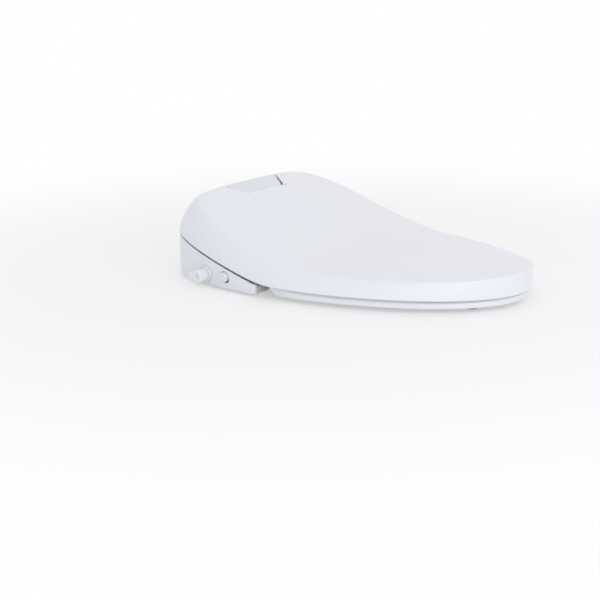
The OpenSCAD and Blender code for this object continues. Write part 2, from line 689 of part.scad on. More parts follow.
button_wall = unit_wall(button_s);
module release_button() color("white") place() difference() {
    union() {
        rod_y(button_s, button_z, button_r, -button_wall - 5, -button_wall + 10);
        rod_y(button_s, button_z, 3, -button_wall + 9, -121);
    }
    rod_y(button_s, button_z, 4, -button_wall - 6, -button_wall - 4);
}
module button_insert() color("mistyrose") place() rod_y(button_s, button_z, 4, -button_wall - 4.6, -button_wall - 4);
module latch_bar() color("dimgray") place() {
    block(button_s - 5, button_s + 5, -121, -106, 16, 27);
    block(button_s - 5, button_s + 5, -106.1, -99.6, roof + 0.6, 19);
}

// ---- Odour filter, on the left side ----

module deodorizer_housing() color("gainsboro") place() {
    difference() {
        block(deo_s - 17, deo_s + 17, 118, 176, 8.5, 33.5);
        block(deo_s - 15, deo_s + 15, 120, 180, 11, 31);
        block(deo_s + 14, deo_s + 18, 120, 124, 17, 25);
    }
    // Pin that carries the fan.
    rod_y(deo_s, 21, 1.5, 119.5, 130);
}
// Duct from the bay's louvres, along the front wall and back to the fan.
module odour_duct() color("gainsboro") place() difference() {
    union() {
        block(130, front_s - wall - 1.4, 28, 126, 15, 27);
        block(deo_s + 17.1, 131, 118, 126, 15, 27);
        block(front_s - wall - 1.5, front_s + 12, 28, 46, 15, 27);
    }
    block(deo_s + 14, 133, 120, 124, 17, 25);
    block(132, front_s - wall - 3.4, 30, 124, 17, 25);
    block(front_s - wall - 4, front_s + 13, 30, 44, 17, 25);
}
module fan_wheel(r, width, blades) {
    difference() {
        union() {
            cylinder(r = r * 0.45, h = width);
            cylinder(r = r, h = 1.2);
            for (i = [0:blades - 1]) rotate(i * 360 / blades) translate([r * 0.4, 0, 0]) rotate(20)
                cube([r * 0.56, 1, width]);
        }
        translate([0, 0, -1]) cylinder(r = 1.5 + run_fit, h = width + 2);
    }
}
module deodorizer_fan() color("black") place()
    translate([deo_s, 123.2, 21]) rotate([-90, 0, 0]) fan_wheel(9, 7, 9);
module deodorizer_cartridge() color("lightgray") place() difference() {
    intersection() {
        block(deo_s - 14.6, deo_s + 14.6, 133, lid_half, 11.4, 30.6);
        linear_extrude(60) unit_plan(0);
    }
    block(deo_s - 12, deo_s + 12, 132, 172, 13.5, 28.5);
    // Finger slot.
    block(deo_s - 8, deo_s + 8, unit_wall(deo_s) - 3.5, lid_half, 14, 17);
}

// ---- Warm-air dryer ----

fan_y = -80;
fan_z = 38;
module dryer_housing() color("dimgray") place() {
    difference() {
        union() {
            rod_y(fan_s, fan_z, 21, fan_y - 15, fan_y + 15);
            block(fan_s - 12, fan_s + 12, fan_y - 6, fan_y + 13, roof + 0.3, fan_z - 12);
            block(fan_s, fan_s + 20.5, fan_y - 15, fan_y + 15, 17, 33);
            rod_y(fan_s, fan_z, 13, fan_y + 14, fan_y + 30);
        }
        rod_y(fan_s, fan_z, 19, fan_y - 13, fan_y + 13);
        block(fan_s, fan_s + 21, fan_y - 13, fan_y + 13, 19, 31);
        rod_y(fan_s, fan_z, 10, fan_y - 16, fan_y - 12);
    }
    // Pin that carries the fan.
    rod_y(fan_s, fan_z, 1.5, fan_y - 8.5, fan_y + 13.5);
}
module dryer_fan() color("black") place() {
    translate([fan_s, fan_y - 9, fan_z]) rotate([-90, 0, 0]) difference() {
        union() {
            cylinder(r = 7, h = 18);
            cylinder(r = 17.5, h = 1.2);
            for (i = [0:17]) rotate(i * 20) translate([12.5, 0, 0]) rotate(30) cube([5, 0.9, 18]);
        }
        translate([0, 0, -1]) cylinder(r = 1.5 + run_fit, h = 30);
    }
}
duct_in = -50;
duct_out = -26;
module dryer_duct() color("gainsboro") place() {
    difference() {
        union() {
            block(fan_s + 20.8, front_s - wall - 1.4, fan_y - 15, duct_out, 15, 33);
            block(front_s - wall - 1.5, bay_s - 8.8, duct_in, duct_out, roof + 0.5, 31);
        }
        block(fan_s + 20, front_s - wall - 3.4, fan_y - 13, duct_out - 2, 17, 31);
        block(front_s - wall - 4, bay_s - 7, duct_in + 2, duct_out - 2, roof + 2.5, 29);
    }
    // Ears that hold the flap's stubs.
    for (y = [duct_in - 1.2, duct_out - 0.9]) difference() {
        block(bay_s - 9, bay_s - 4.6, y, y + 2, 27, 33.5);
        rod_y(bay_s - 6.6, 30.6, 1.3 + run_fit, y - 1, y + 3);
    }
}
module dryer_flap() color("white") place() {
    block(bay_s - 7.4, bay_s - 5.8, duct_in + 1.2, duct_out - 1.3, roof + 1, 30.6);
    rod_y(bay_s - 6.6, 30.6, 1.3, duct_in - 1, duct_out + 0.9);
    rod_y(bay_s - 6.6, 30.6, 1.9, duct_in + 1.2, duct_out - 1.3);
}

// ---- Wand ----

guide_rear = -wand_len + 3;
module wand_guide() color("gainsboro") place() difference() {
    union() {
        on_wand() translate([guide_rear, -11, rack_pitch_v - 2.5]) cube([-6 - guide_rear, 22, 23]);
        both() block(60, 66, 5, 9, roof + 0.3, 62);
        both() block(117, 122, 5, 9, roof + 0.3, 30);
    }
    on_wand() {
        translate([guide_rear - 9, 0, 0]) rotate([0, 90, 0]) cylinder(r = wand_d / 2 + 0.3, h = wand_len + 20);
        translate([guide_rear - 9, -4, rack_pitch_v - 3]) cube([wand_len + 20, 8, 12]);
    }
}
wand_flat = wand_d / 2 - 0.8;   // height of the flat under the wand, that the rack is bonded to
module wand_tube() color("silver") place() on_wand() difference() {
    translate([-wand_len, 0, 0]) rotate([0, 90, 0]) cylinder(r = wand_d / 2, h = wand_len - 20);
    translate([-wand_len - 1, -10, -wand_flat - 10]) cube([wand_len, 20, 10]);
}
module nozzle_tip() color("white") place() on_wand() difference() {
    union() {
        translate([-20, 0, 0]) rotate([0, 90, 0]) cylinder(r = wand_d / 2, h = 18.5);
        translate([-1.6, 0, 0]) rotate([0, 90, 0]) cylinder(r1 = wand_d / 2, r2 = wand_d / 2 - 1.6, h = 1.6);
    }
    for (u = [-6, -9.5, -13]) translate([u, 0, 2]) cylinder(r = 0.7, h = 10);
    for (y = [-1.8, 1.8]) translate([-9.5, y, 2]) cylinder(r = 0.5, h = 10);
}

// Rack tooth: pressure angle 20 degrees, thinned for backlash.
backlash = 0.12;
rack_addendum = 0.75 * gear_module;
rack_teeth = floor((wand_len - 22) / (PI * gear_module));
module wand_rack() color("whitesmoke") place() on_wand() {
    pitch = PI * gear_module;
    start = pinion_u + pitch * 1.5;
    reach = pitch * rack_teeth;
    translate([0, 3, rack_pitch_v]) rotate([90, 0, 0]) linear_extrude(6) union() {
        translate([start - reach, 1.25 * gear_module])
            square([reach, -rack_pitch_v - wand_flat - 1.25 * gear_module]);
        for (i = [0:rack_teeth - 1]) {
            mid = start - pitch * (i + 0.5);
            half = pitch / 4 - backlash;
            root = half + 1.3 * gear_module * tan(20);
            tip = half - rack_addendum * tan(20);
            polygon([[mid - root, 1.3 * gear_module], [mid - tip, -rack_addendum],
                     [mid + tip, -rack_addendum], [mid + root, 1.3 * gear_module]]);
        }
    }
}
// Involute pinion: each tooth is a root point, an involute flank and its mirror image.
function inv(a) = tan(a) * 180 / PI - a;
module pinion_plan() {
    base = pitch_r * cos(20);
    tip = pitch_r + gear_module;
    root = pitch_r - 1.25 * gear_module;
    half = 360 / pinion_teeth / 4 - backlash * 180 / PI / pitch_r;
    foot = half + inv(20);
    side = concat([[root, foot]], [for (k = [0:5]) let (r = mix(base, tip, k / 5))
        [r, foot - inv(acos(min(1, base / r)))]]);
    tooth = concat([for (p = side) [p[0], -p[1]]], reversed(side));
    polygon([for (i = [0:pinion_teeth - 1]) each [for (p = tooth)
        let (a = p[1] + i * 360 / pinion_teeth) p[0] * [cos(a), sin(a)]]]);
}
module drive_pinion() color("ivory") place() on_wand() translate([pinion_u, 0, pinion_v]) rotate([90, 90, 0])
    difference() {
        translate([0, 0, -3]) linear_extrude(6) rotate(180 + 180 / pinion_teeth) pinion_plan();
        translate([0, 0, -4]) cylinder(r = 2 + run_fit, h = 8);
    }
module wand_motor() color("silver") place() {
    on_wand() translate([pinion_u, 0, pinion_v]) rotate([-90, 0, 0]) {
        translate([0, 0, 11.6]) cylinder(r = 12.5, h = 18);
        translate([0, 0, -4]) cylinder(r = 2, h = 16);
    }
    block(100, 113, 12, 29, roof + 0.3, 22);
}

base_plate();
bolt_carriers();
slide_channel();
lower_casing();
upper_casing();
side_deck_right();
side_deck_left();
nozzle_bay();
indicator_panel();
display_board();
unit_feet();
casing_screws();
hinge_brackets();
hinge_shafts();
seat_damper();
lid_damper();
water_inlet();
solenoid_valve();
water_heater();
flow_pump();
vacuum_breaker();
water_pipes();
control_board();
power_board();
power_gland();
drain_valve();
drain_knob();
release_button();
button_insert();
latch_bar();
deodorizer_housing();
odour_duct();
deodorizer_fan();
deodorizer_cartridge();
dryer_housing();
dryer_fan();
dryer_duct();
dryer_flap();
wand_guide();
wand_tube();
wand_rack();
nozzle_tip();
wand_motor();
drive_pinion();
nozzle_door();
door_pin();
seat_upper_shell();
seat_base();
seat_heater();
occupancy_sensor();
seat_bumpers();
lid_shell();
lid_bumpers();
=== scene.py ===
"""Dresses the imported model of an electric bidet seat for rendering.

The lid, the seat, the lower casing, the panel, the knob, the button, the screws and the bumpers
are rebuilt here as smooth forms, and the inlet gets the crests of its thread. The overall sizes,
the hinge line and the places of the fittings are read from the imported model. Every other node
keeps its shape and gets its own finish.
Sizes are in millimetres, and meshes are written in metres. A station is the distance from the
rear of the unit, and a turn goes round an outline from -90 at its rear to 90 at its front.
"""

import json
import logging
import math
from dataclasses import dataclass, field
from enum import Enum
from typing import Iterable, Sequence

import bmesh
import bpy
import numpy as np
from mathutils import Matrix, Vector


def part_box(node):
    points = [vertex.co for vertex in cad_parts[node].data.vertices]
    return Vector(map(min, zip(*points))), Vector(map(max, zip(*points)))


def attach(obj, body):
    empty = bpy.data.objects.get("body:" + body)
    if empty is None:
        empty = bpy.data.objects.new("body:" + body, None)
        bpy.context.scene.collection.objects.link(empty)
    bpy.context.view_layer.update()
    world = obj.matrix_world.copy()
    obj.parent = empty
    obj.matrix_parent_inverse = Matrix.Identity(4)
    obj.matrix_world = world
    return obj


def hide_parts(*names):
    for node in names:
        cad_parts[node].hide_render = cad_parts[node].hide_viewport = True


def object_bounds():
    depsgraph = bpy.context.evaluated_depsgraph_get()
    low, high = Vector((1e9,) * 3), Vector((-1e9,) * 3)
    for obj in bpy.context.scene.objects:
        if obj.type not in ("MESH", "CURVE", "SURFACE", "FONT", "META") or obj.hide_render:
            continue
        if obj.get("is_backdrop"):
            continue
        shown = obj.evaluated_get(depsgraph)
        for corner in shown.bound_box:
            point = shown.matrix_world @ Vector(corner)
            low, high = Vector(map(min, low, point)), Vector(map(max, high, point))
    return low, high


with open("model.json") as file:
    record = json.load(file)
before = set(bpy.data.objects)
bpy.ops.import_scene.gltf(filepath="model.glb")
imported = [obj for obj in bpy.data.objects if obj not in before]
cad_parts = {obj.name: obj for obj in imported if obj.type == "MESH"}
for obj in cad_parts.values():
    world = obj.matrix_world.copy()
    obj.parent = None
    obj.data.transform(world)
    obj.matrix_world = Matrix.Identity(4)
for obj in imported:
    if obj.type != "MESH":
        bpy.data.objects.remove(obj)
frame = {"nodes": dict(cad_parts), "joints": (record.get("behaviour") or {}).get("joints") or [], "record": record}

log = logging.getLogger("bidet_seat")
MM = 0.001
Colour = tuple[float, float, float]
Point = tuple[float, float, float]
Number = np.ndarray | float


# ---- Shape helpers -------------------------------------------------------------------------


def mix(low: Number, high: Number, share: Number) -> Number:
    """Value at a share of the way from low to high."""
    return low + (high - low) * share


def clamp01(value: Number) -> np.ndarray:
    """Value held between 0 and 1."""
    return np.clip(value, 0.0, 1.0)


def smooth_step(value: Number) -> Number:
    """Share that starts and ends level."""
    return value * value * (3 - 2 * value)


def loop_quads(rows: int, count: int) -> list[tuple[int, ...]]:
    """Quads that join closed loops of points, one row to the next.

    Args:
        rows: Number of loops.
        count: Points in each loop.

    Returns:
        Faces as point numbers.
    """
    faces = []
    for row in range(rows - 1):
        for i in range(count):
            j = (i + 1) % count
            faces.append((row * count + i, row * count + j, (row + 1) * count + j, (row + 1) * count + i))
    return faces


def new_object(name: str, points: np.ndarray, faces: Sequence[Sequence[int]]) -> bpy.types.Object:
    """Object at the origin, with doubled points merged and faces turned outwards.

    Args:
        name: Name of the object and of its mesh.
        points: Points in millimetres, as rows of x, y and z.
        faces: Faces as point numbers.

    Returns:
        The linked object.
    """
    mesh = bpy.data.meshes.new(name)
    mesh.from_pydata((np.asarray(points, float) * MM).tolist(), [], [list(f) for f in faces])
    piece = linked(name, mesh)
    tidy(piece)
    return piece


def linked(name: str, data: bpy.types.ID) -> bpy.types.Object:
    """Object of some data, linked to the scene.

    Args:
        name: Name of the object.
        data: Mesh, camera or lamp.

    Returns:
        The object.
    """
    made = bpy.data.objects.new(name, data)
    bpy.context.scene.collection.objects.link(made)
    return made


def tidy(piece: bpy.types.Object) -> None:
    """Merges doubled points and turns the faces outwards.

    Args:
        piece: Piece whose mesh is mended.
    """
    work = bmesh.new()
    work.from_mesh(piece.data)
    bmesh.ops.remove_doubles(work, verts=work.verts, dist=2e-6)
    bmesh.ops.dissolve_degenerate(work, edges=work.edges, dist=1e-6)
    bmesh.ops.recalc_face_normals(work, faces=work.faces)
    work.to_mesh(piece.data)
    work.free()


def soften(piece: bpy.types.Object, angle: float = 32.0) -> None:
    """Shades a piece smooth, with sharp edges kept.

    Args:
        piece: Piece that is shaded.
        angle: Angle in degrees between two faces past which their edge stays sharp.
    """
    piece.data.polygons.foreach_set("use_smooth", [True] * len(piece.data.polygons))
    piece.data.set_sharp_from_angle(angle=math.radians(angle))
    piece.data.update()


def bake(piece: bpy.types.Object) -> bpy.types.Object:
    """Turns what the modifiers make into the piece's own plain mesh.

    Args:
        piece: Piece with modifiers.

    Returns:
        The same piece, without them.
    """
    graph = bpy.context.evaluated_depsgraph_get()
    made = bpy.data.meshes.new_from_object(piece.evaluated_get(graph))
    piece.modifiers.clear()
    old = piece.data
    piece.data = made
    made.name = piece.name
    bpy.data.meshes.remove(old)
    return piece


def carve(piece: bpy.types.Object, cutters: Iterable[bpy.types.Object]) -> None:
    """Cuts solids out of a piece and removes them.

    Args:
        piece: Piece that is cut.
        cutters: Closed solids.
    """
    for cutter in cutters:
        step = piece.modifiers.new("carve", "BOOLEAN")
        step.operation = "DIFFERENCE"
        step.solver = "EXACT"
        step.object = cutter
        bpy.context.view_layer.update()
        bake(piece)
        bpy.data.objects.remove(cutter)


def bevelled(piece: bpy.types.Object, width: float, segments: int) -> bpy.types.Object:
    """Rounds the edges at which faces meet at more than 50 degrees.

    Args:
        piece: Piece with plain edges.
        width: Width of the rounding.
        segments: Facets across it.

    Returns:
        The same piece.
    """
    edge = piece.modifiers.new("edge", "BEVEL")
    edge.width = width * MM
    edge.segments = segments
    edge.limit_method = "ANGLE"
    edge.angle_limit = math.radians(50)
    return bake(piece)


def join(name: str, parts: Sequence[bpy.types.Object]) -> bpy.types.Object:
    """One object from several, with their materials kept.

    Args:
        name: Name of the joined object.
        parts: Objects, which are removed.

    Returns:
        The joined object.
    """
    work = bmesh.new()
    materials: list[bpy.types.Material] = []
    for part in parts:
        slots = [s.material for s in part.material_slots]
        start = len(work.faces)
        work.from_mesh(part.data)
        work.faces.ensure_lookup_table()
        for face in work.faces[start:]:
            if slots:
                material = slots[min(face.material_index, len(slots) - 1)]
                if material not in materials:
                    materials.append(material)
                face.material_index = materials.index(material)
    mesh = bpy.data.meshes.new(name)
    work.to_mesh(mesh)
    work.free()
    for part in parts:
        bpy.data.objects.remove(part)
    for material in materials:
        mesh.materials.append(material)
    return linked(name, mesh)


def stacked(name: str, rows: Sequence[np.ndarray]) -> bpy.types.Object:
    """Closed solid from loops of points, capped at both ends.

    Args:
        name: Name of the object.
        rows: Loops in order, each with as many points in millimetres.

    Returns:
        The solid.
    """
    count = len(rows[0])
    last = (len(rows) - 1) * count
    caps = [tuple(range(count)), tuple(range(last, last + count))]
    return new_object(name, np.vstack(rows), loop_quads(len(rows), count) + caps)


def prism(name: str, outline: np.ndarray, low: float, high: float, along: int) -> bpy.types.Object:
    """Solid from a flat outline carried along an axis.

    Args:
        name: Name of the object.
        outline: Points in the two other axes, in X, Y, Z order.
        low: Start along the axis.
        high: End along the axis.
        along: Number of the axis, 0 for X.

    Returns:
        The closed solid.
    """
    outline = np.asarray(outline, float)
    return stacked(name, [np.insert(outline, along, place, axis=1) for place in (low, high)])


def block(name: str, low: Sequence[float], high: Sequence[float]) -> bpy.types.Object:
    """Box between two corners, used to cut."""
    outline = [(low[0], low[1]), (high[0], low[1]), (high[0], high[1]), (low[0], high[1])]
    return prism(name, np.array(outline), low[2], high[2], 2)


def turned(name: str, profile: Sequence[tuple[float, float]], centre: Sequence[float],
           axis: int = 1, sides: int = 96) -> bpy.types.Object:
    """Solid turned from a profile.

    Args:
        name: Name of the object.
        profile: Pairs of radius and place along the axis. The first and last radius may be 0.
        centre: Point that the axis passes through.
        axis: Number of the axis, 1 for Y.
        sides: Faces round the axis.

    Returns:
        The closed solid.
    """
    middle = np.delete(np.asarray(centre, float), axis)
    angles = np.linspace(0, 2 * math.pi, sides, endpoint=False)
    circle = np.column_stack([np.cos(angles), np.sin(angles)])
    rows = [np.insert(middle + radius * circle, axis, place, axis=1) for radius, place in profile]
    faces = loop_quads(len(rows), sides)
    if profile[0][0] > 0:
        faces.append(tuple(range(sides)))
    if profile[-1][0] > 0:
        faces.append(tuple(range((len(rows) - 1) * sides, len(rows) * sides)))
    return new_object(name, np.vstack(rows), faces)


def cylinder(name: str, radius: float, low: float, high: float, centre: Sequence[float],
             axis: int = 1, sides: int = 96) -> bpy.types.Object:
    """Plain round solid, used to cut."""
    return turned(name, [(radius, low), (radius, high)], centre, axis, sides)


def rounded_end(radius: float, place: float, fillet: float) -> list[tuple[float, float]]:
    """Profile points of the rounded edge at a turned piece's low end.

    Args:
        radius: Radius of the piece.
        place: Place of its end along the axis.
        fillet: Radius of the edge.

    Returns:
        Pairs of radius and place, from the end to the wall.
    """
    turns = np.linspace(0, math.pi / 2, 5)[::-1]
    return [(radius - fillet + fillet * math.cos(a), place + fillet * (1 - math.sin(a))) for a in turns]


def arc(x: float, y: float, radius: float, first: float, last: float, count: int) -> np.ndarray:
    """Points on an arc.

    Args:
        x: First coordinate of its centre.
        y: Second coordinate of its centre.
        radius: Its radius.
        first: Angle in degrees at which it starts.
        last: Angle at which it ends.
        count: Number of points.

    Returns:
        Points as rows.
    """
    around = np.radians(np.linspace(first, last, count))
    return np.column_stack([x + radius * np.cos(around), y + radius * np.sin(around)])


def inset_outline(outline: np.ndarray, inset: float) -> np.ndarray:
    """Closed flat outline moved inwards.

    Args:
        outline: Points in order.
        inset: Distance inwards.

    Returns:
        As many points.
    """
    before, after = outline - np.roll(outline, 1, 0), np.roll(outline, -1, 0) - outline
    before /= np.linalg.norm(before, axis=1)[:, None]
    after /= np.linalg.norm(after, axis=1)[:, None]
    along = before + after
    along /= np.linalg.norm(along, axis=1)[:, None]
    area = np.sum(outline[:, 0] * np.roll(outline[:, 1], -1) - outline[:, 1] * np.roll(outline[:, 0], -1))
    inward = np.column_stack([-along[:, 1], along[:, 0]]) * (1 if area > 0 else -1)
    stretch = 1 / np.maximum(0.5, np.sum(along * after, axis=1))
    return outline + inward * inset * stretch[:, None]


def even_turns(trace: np.ndarray, turns: np.ndarray, step: float) -> np.ndarray:
    """Turns that stand at even steps along an outline.

    Args:
        trace: Points of the outline, one for each fine turn.
        turns: Fine turns.
        step: Wanted distance between points.

    Returns:
        The chosen turns, first and last included.
    """
    run = np.concatenate([[0], np.cumsum(np.linalg.norm(np.diff(trace, axis=0), axis=1))])
    count = max(2, int(round(run[-1] / step)) + 1)
    return np.interp(np.linspace(0, run[-1], count), run, turns)


def fine_turns(first: float, last: float) -> np.ndarray:
    """Turns packed closely at the two ends, where an outline turns its corners."""
    share = np.linspace(0, math.pi, 6001)
    return first + (last - first) * (1 - np.cos(share)) / 2


def mirrored(half_loop: np.ndarray) -> np.ndarray:
    """Closed loop, or ring of sections, from its half where y is positive."""
    return np.concatenate([half_loop, half_loop[-2:0:-1] * np.array([1, -1, 1])])


# ---- Packed sizes --------------------------------------------------------------------------


def node_box(node: str) -> tuple[Vector, Vector]:
    """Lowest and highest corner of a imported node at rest, in millimetres."""
    low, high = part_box(node)
    return low / MM, high / MM


@dataclass(frozen=True)
class Barrel:
    """Round node that lies along the Y axis."""

    centre: Point
    radius: float
    low: float
    high: float

    @classmethod
    def of(cls, node: str) -> "Barrel":
        """Axis point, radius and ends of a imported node."""
        low, high = node_box(node)
        return cls(((low.x + high.x) / 2, 0, (low.z + high.z) / 2), (high.z - low.z) / 2, low.y, high.y)


@dataclass
class Form:
    """Outlines and heights that the lid, the seat and the casing share."""

    length: float = field(init=False)
    half: float = field(init=False)
    wide_s: float = 203.0
    nose: tuple[float, float] = (1.67, 1.95)
    lid_wall: float = 3.0
    lid_low: float = field(init=False)
    crease_low: float = 43.4
    crease_rise: float = 88.2
    crease_run: tuple[float, float] = (-69.0, 297.0)
    tip_lift: float = 6.4
    lift_s: float = 380.0
    side_lean: float = 17.5
    lean_start: float = 0.22
    rear_lean: float = 25.0
    rear_taper: float = 0.13
    tip_lean: float = 3.8
    dome: float = 3.4
    dome_fade_s: float = 300.0
    rear_dome: float = 5.0
    rear_dome_s: float = 150.0
    seam_rear: float = 72.7
    seam_fall: float = 0.27
    seam_bend: float = 6.0
    cover_gap: float = 2.0
    wall: float = 2.5
    rear_x: float = field(init=False)
    hinge: tuple[float, float] = field(init=False)

    def __post_init__(self) -> None:
        """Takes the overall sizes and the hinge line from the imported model."""
        low, high = node_box("lid_shell")
        self.rear_x = low.x
        self.length = high.x - low.x - self.tip_lean
        self.half = (high.y - low.y) / 2
        self.lid_low = low.z
        joint = next(j for j in frame["joints"] if j["name"] == "seat_hinge")
        self.hinge = (joint["pos_m"][0] / MM - self.rear_x, joint["pos_m"][2] / MM)

    def at(self, points: np.ndarray | Sequence[float]) -> np.ndarray:
        """Points in the model's frame.

        Args:
            points: Points whose first coordinate is a station.

        Returns:
            As many points, in millimetres.
        """
        moved = np.array(points, float)
        moved[..., 0] += self.rear_x
        return moved

    def hinge_point(self) -> np.ndarray:
        """Middle of the hinge line, in the model's frame."""
        return self.at((self.hinge[0], 0, self.hinge[1]))

    def egg(self, turn: np.ndarray, front: float, rear: float, half: float, mid: float | None = None,
            rear_powers: tuple[float, float] = (2.0, 8.0)) -> np.ndarray:
        """Egg-shaped half outline.

        Args:
            turn: Turns in degrees.
            front: Station of the front end.
            rear: Station of the rear end.
            half: Half width.
            mid: Station of the widest place, or None for the lid's.
            rear_powers: Exponents of the rear outline.

        Returns:
            Stations and distances from the middle line, as rows.
        """
        middle = self.wide_s if mid is None else mid
        share = np.abs(np.sin(np.radians(turn)))
        ahead = turn >= 0
        station = np.where(ahead, mix(middle, front, share), mix(middle, rear, share))
        first = np.where(ahead, self.nose[0], rear_powers[0])
        second = np.where(ahead, self.nose[1], rear_powers[1])
        side = half * np.maximum(0, 1 - share ** first) ** (1 / second)
        return np.stack([station, side], -1)

    def foot(self, turn: np.ndarray, inset: float = 0.0) -> np.ndarray:
        """Outline of the lid's lower edge, as stations and half widths."""
        return self.egg(turn, self.length - inset, inset, self.half - inset)

    def crease(self, turn: np.ndarray, inset: float = 0.0) -> np.ndarray:
        """Outline of the crease between the lid's wall and its top."""
        front = self.length + self.tip_lean - inset
        return self.egg(turn, front, self.rear_lean + inset, self.half - self.side_lean - inset)

    def seam(self, s: Number) -> Number:
        """Height of the seam between lid and unit."""
        return self.seam_rear - self.seam_fall * s

    def low_z(self, s: np.ndarray) -> np.ndarray:
        """Height of the lid's lower edge, which leaves the seam in a soft bend."""
        rise = self.seam(s) - self.lid_low
        return self.lid_low + (rise + np.sqrt(rise * rise + self.seam_bend ** 2)) / 2

    def crease_z(self, s: np.ndarray) -> np.ndarray:
        """Height of the crease.

        Args:
            s: Stations.

        Returns:
            Heights.
        """
        share = clamp01((s - self.crease_run[0]) / (self.crease_run[1] - self.crease_run[0]))
        lift = np.maximum(0, (s - self.lift_s) / (self.length - self.lift_s)) ** 2
        fall = 0.5 + 0.5 * np.cos(math.pi * share)
        return self.crease_low + self.crease_rise * fall + self.tip_lift * lift

    def top_half(self, s: np.ndarray) -> np.ndarray:
        """Half width of the lid's top, without its rear corners.

        Args:
            s: Stations.

        Returns:
            Half widths.
        """
        half = self.half - self.side_lean
        behind = half * (1 - self.rear_taper * ((self.wide_s - s) / self.wide_s) ** 2)
        share = clamp01((s - self.wide_s) / (self.length + self.tip_lean - self.wide_s))
        ahead = half * np.maximum(0, 1 - share ** self.nose[0]) ** (1 / self.nose[1])
        return np.where(s < self.wide_s, behind, ahead)

    def top_z(self, s: np.ndarray, y: np.ndarray) -> np.ndarray:
        """Height of the lid's top, whose dome dies out at the sides and the tip.

        Args:
            s: Stations.
            y: Distances from the middle line.

        Returns:
            Heights.
        """
        rise = self.dome + self.rear_dome * clamp01(1 - s / self.rear_dome_s)
        across = np.minimum(1, np.abs(y) / np.maximum(self.top_half(s), 0.01))
        front = self.length + self.tip_lean
        fade = 1 - clamp01((s - self.dome_fade_s) / (front - self.dome_fade_s)) ** 4
        return self.crease_z(s) + rise * (1 - across ** 2) * fade

    def lean_share(self, share: Number) -> Number:
        """Share of the lean that the side wall has reached at a share of its height."""
        return self.lean_start * share + (1 - self.lean_start) * share * share


# ---- Finishes ------------------------------------------------------------------------------


def add_node(nodes: bpy.types.Nodes, kind: str, inputs: dict[str | int, object] | None = None,
             **settings: object) -> bpy.types.Node:
    """Node with its settings and the values of its inputs.

    Args:
        nodes: Nodes of the tree that it joins.
        kind: Type of the node.
        inputs: Values by name or number of the input.
        settings: Properties of the node.

    Returns:
        The node.
    """
    node = nodes.new(kind)
    for name, value in settings.items():
        setattr(node, name, value)
    for name, value in (inputs or {}).items():
        node.inputs[name].default_value = value
    return node


class NodeBench:
    """Short calls for building a material's nodes."""

    def __init__(self, name: str) -> None:
        """Starts a material with a shader and object coordinates.

        Args:
            name: Name of the material.
        """
        self.material = bpy.data.materials.new(name)
        self.material.use_nodes = True
        self.nodes = self.material.node_tree.nodes
        self.links = self.material.node_tree.links
        self.shader = next(n for n in self.nodes if n.type == "BSDF_PRINCIPLED")
        self.place = self.nodes.new("ShaderNodeTexCoord").outputs["Object"]

    def run(self, kind: str, source: bpy.types.NodeSocket, into: str | int, out: str | int,
            inputs: dict[str | int, object] | None = None, **settings: object) -> bpy.types.NodeSocket:
        """Passes a socket through a new node.

        Args:
            kind: Type of the node.
            source: Socket that is passed in.
            into: Input that takes it.
            out: Output that is wanted.
            inputs: Values of the other inputs.
            settings: Properties of the node.

        Returns:
            The output socket.
        """
        node = add_node(self.nodes, kind, inputs, **settings)
        self.links.new(source, node.inputs[into])
        return node.outputs[out]

    def stretched(self, scale: Sequence[float]) -> bpy.types.NodeSocket:
        """Object coordinates, stretched by a scale for each axis."""
        return self.run("ShaderNodeMapping", self.place, "Vector", "Vector", {"Scale": scale})

    def noise(self, scale: float, detail: float = 3.0, place: bpy.types.NodeSocket | None = None
              ) -> bpy.types.NodeSocket:
        """Soft noise by its waves in a metre and its octaves, over the object's or other coordinates."""
        values = {"Scale": scale, "Detail": detail}
        return self.run("ShaderNodeTexNoise", place or self.place, "Vector", "Fac", values)

    def between(self, factor: bpy.types.NodeSocket, low: float, high: float) -> bpy.types.NodeSocket:
        """Number that runs from low to high over the middle of a factor's range.

        Args:
            factor: Factor from 0 to 1.
            low: Number at the lower end.
            high: Number at the upper end.

        Returns:
            The number's socket.
        """
        values = {"From Min": 0.2, "From Max": 0.8, "To Min": low, "To Max": high}
        return self.run("ShaderNodeMapRange", factor, "Value", "Result", values,
                        interpolation_type="SMOOTHSTEP")

    def blended(self, factor: bpy.types.NodeSocket, first: Colour, second: Colour) -> bpy.types.NodeSocket:
        """Colour that runs from first to second with a factor.

        Args:
            factor: Factor from 0 to 1.
            first: Colour at 0.
            second: Colour at 1.

        Returns:
            The colour socket.
        """
        node = add_node(self.nodes, "ShaderNodeMix", data_type="RGBA")
        colours = {"A": (*first, 1), "B": (*second, 1)}
        for socket in node.inputs:
            if socket.type == "RGBA" and socket.name in colours:
                socket.default_value = colours[socket.name]
        self.links.new(factor, node.inputs["Factor"])
        return next(o for o in node.outputs if o.type == "RGBA")

    def relief(self, height: bpy.types.NodeSocket, depth_mm: float, strength: float) -> None:
        """Bumps the surface by a height.

        Args:
            height: Height factor.
            depth_mm: Depth of the relief.
            strength: Share of it that shows.
        """
        values = {"Distance": depth_mm * MM, "Strength": strength}
        self.feed("Normal", self.run("ShaderNodeBump", height, "Height", "Normal", values))

    def feed(self, name: str, socket: bpy.types.NodeSocket) -> None:
        """Links a socket to a named input of the shader."""
        self.links.new(socket, self.shader.inputs[name])

    def set(self, name: str, value: float | tuple[float, ...]) -> None:
        """Sets a named input of the shader."""
        self.shader.inputs[name].default_value = value


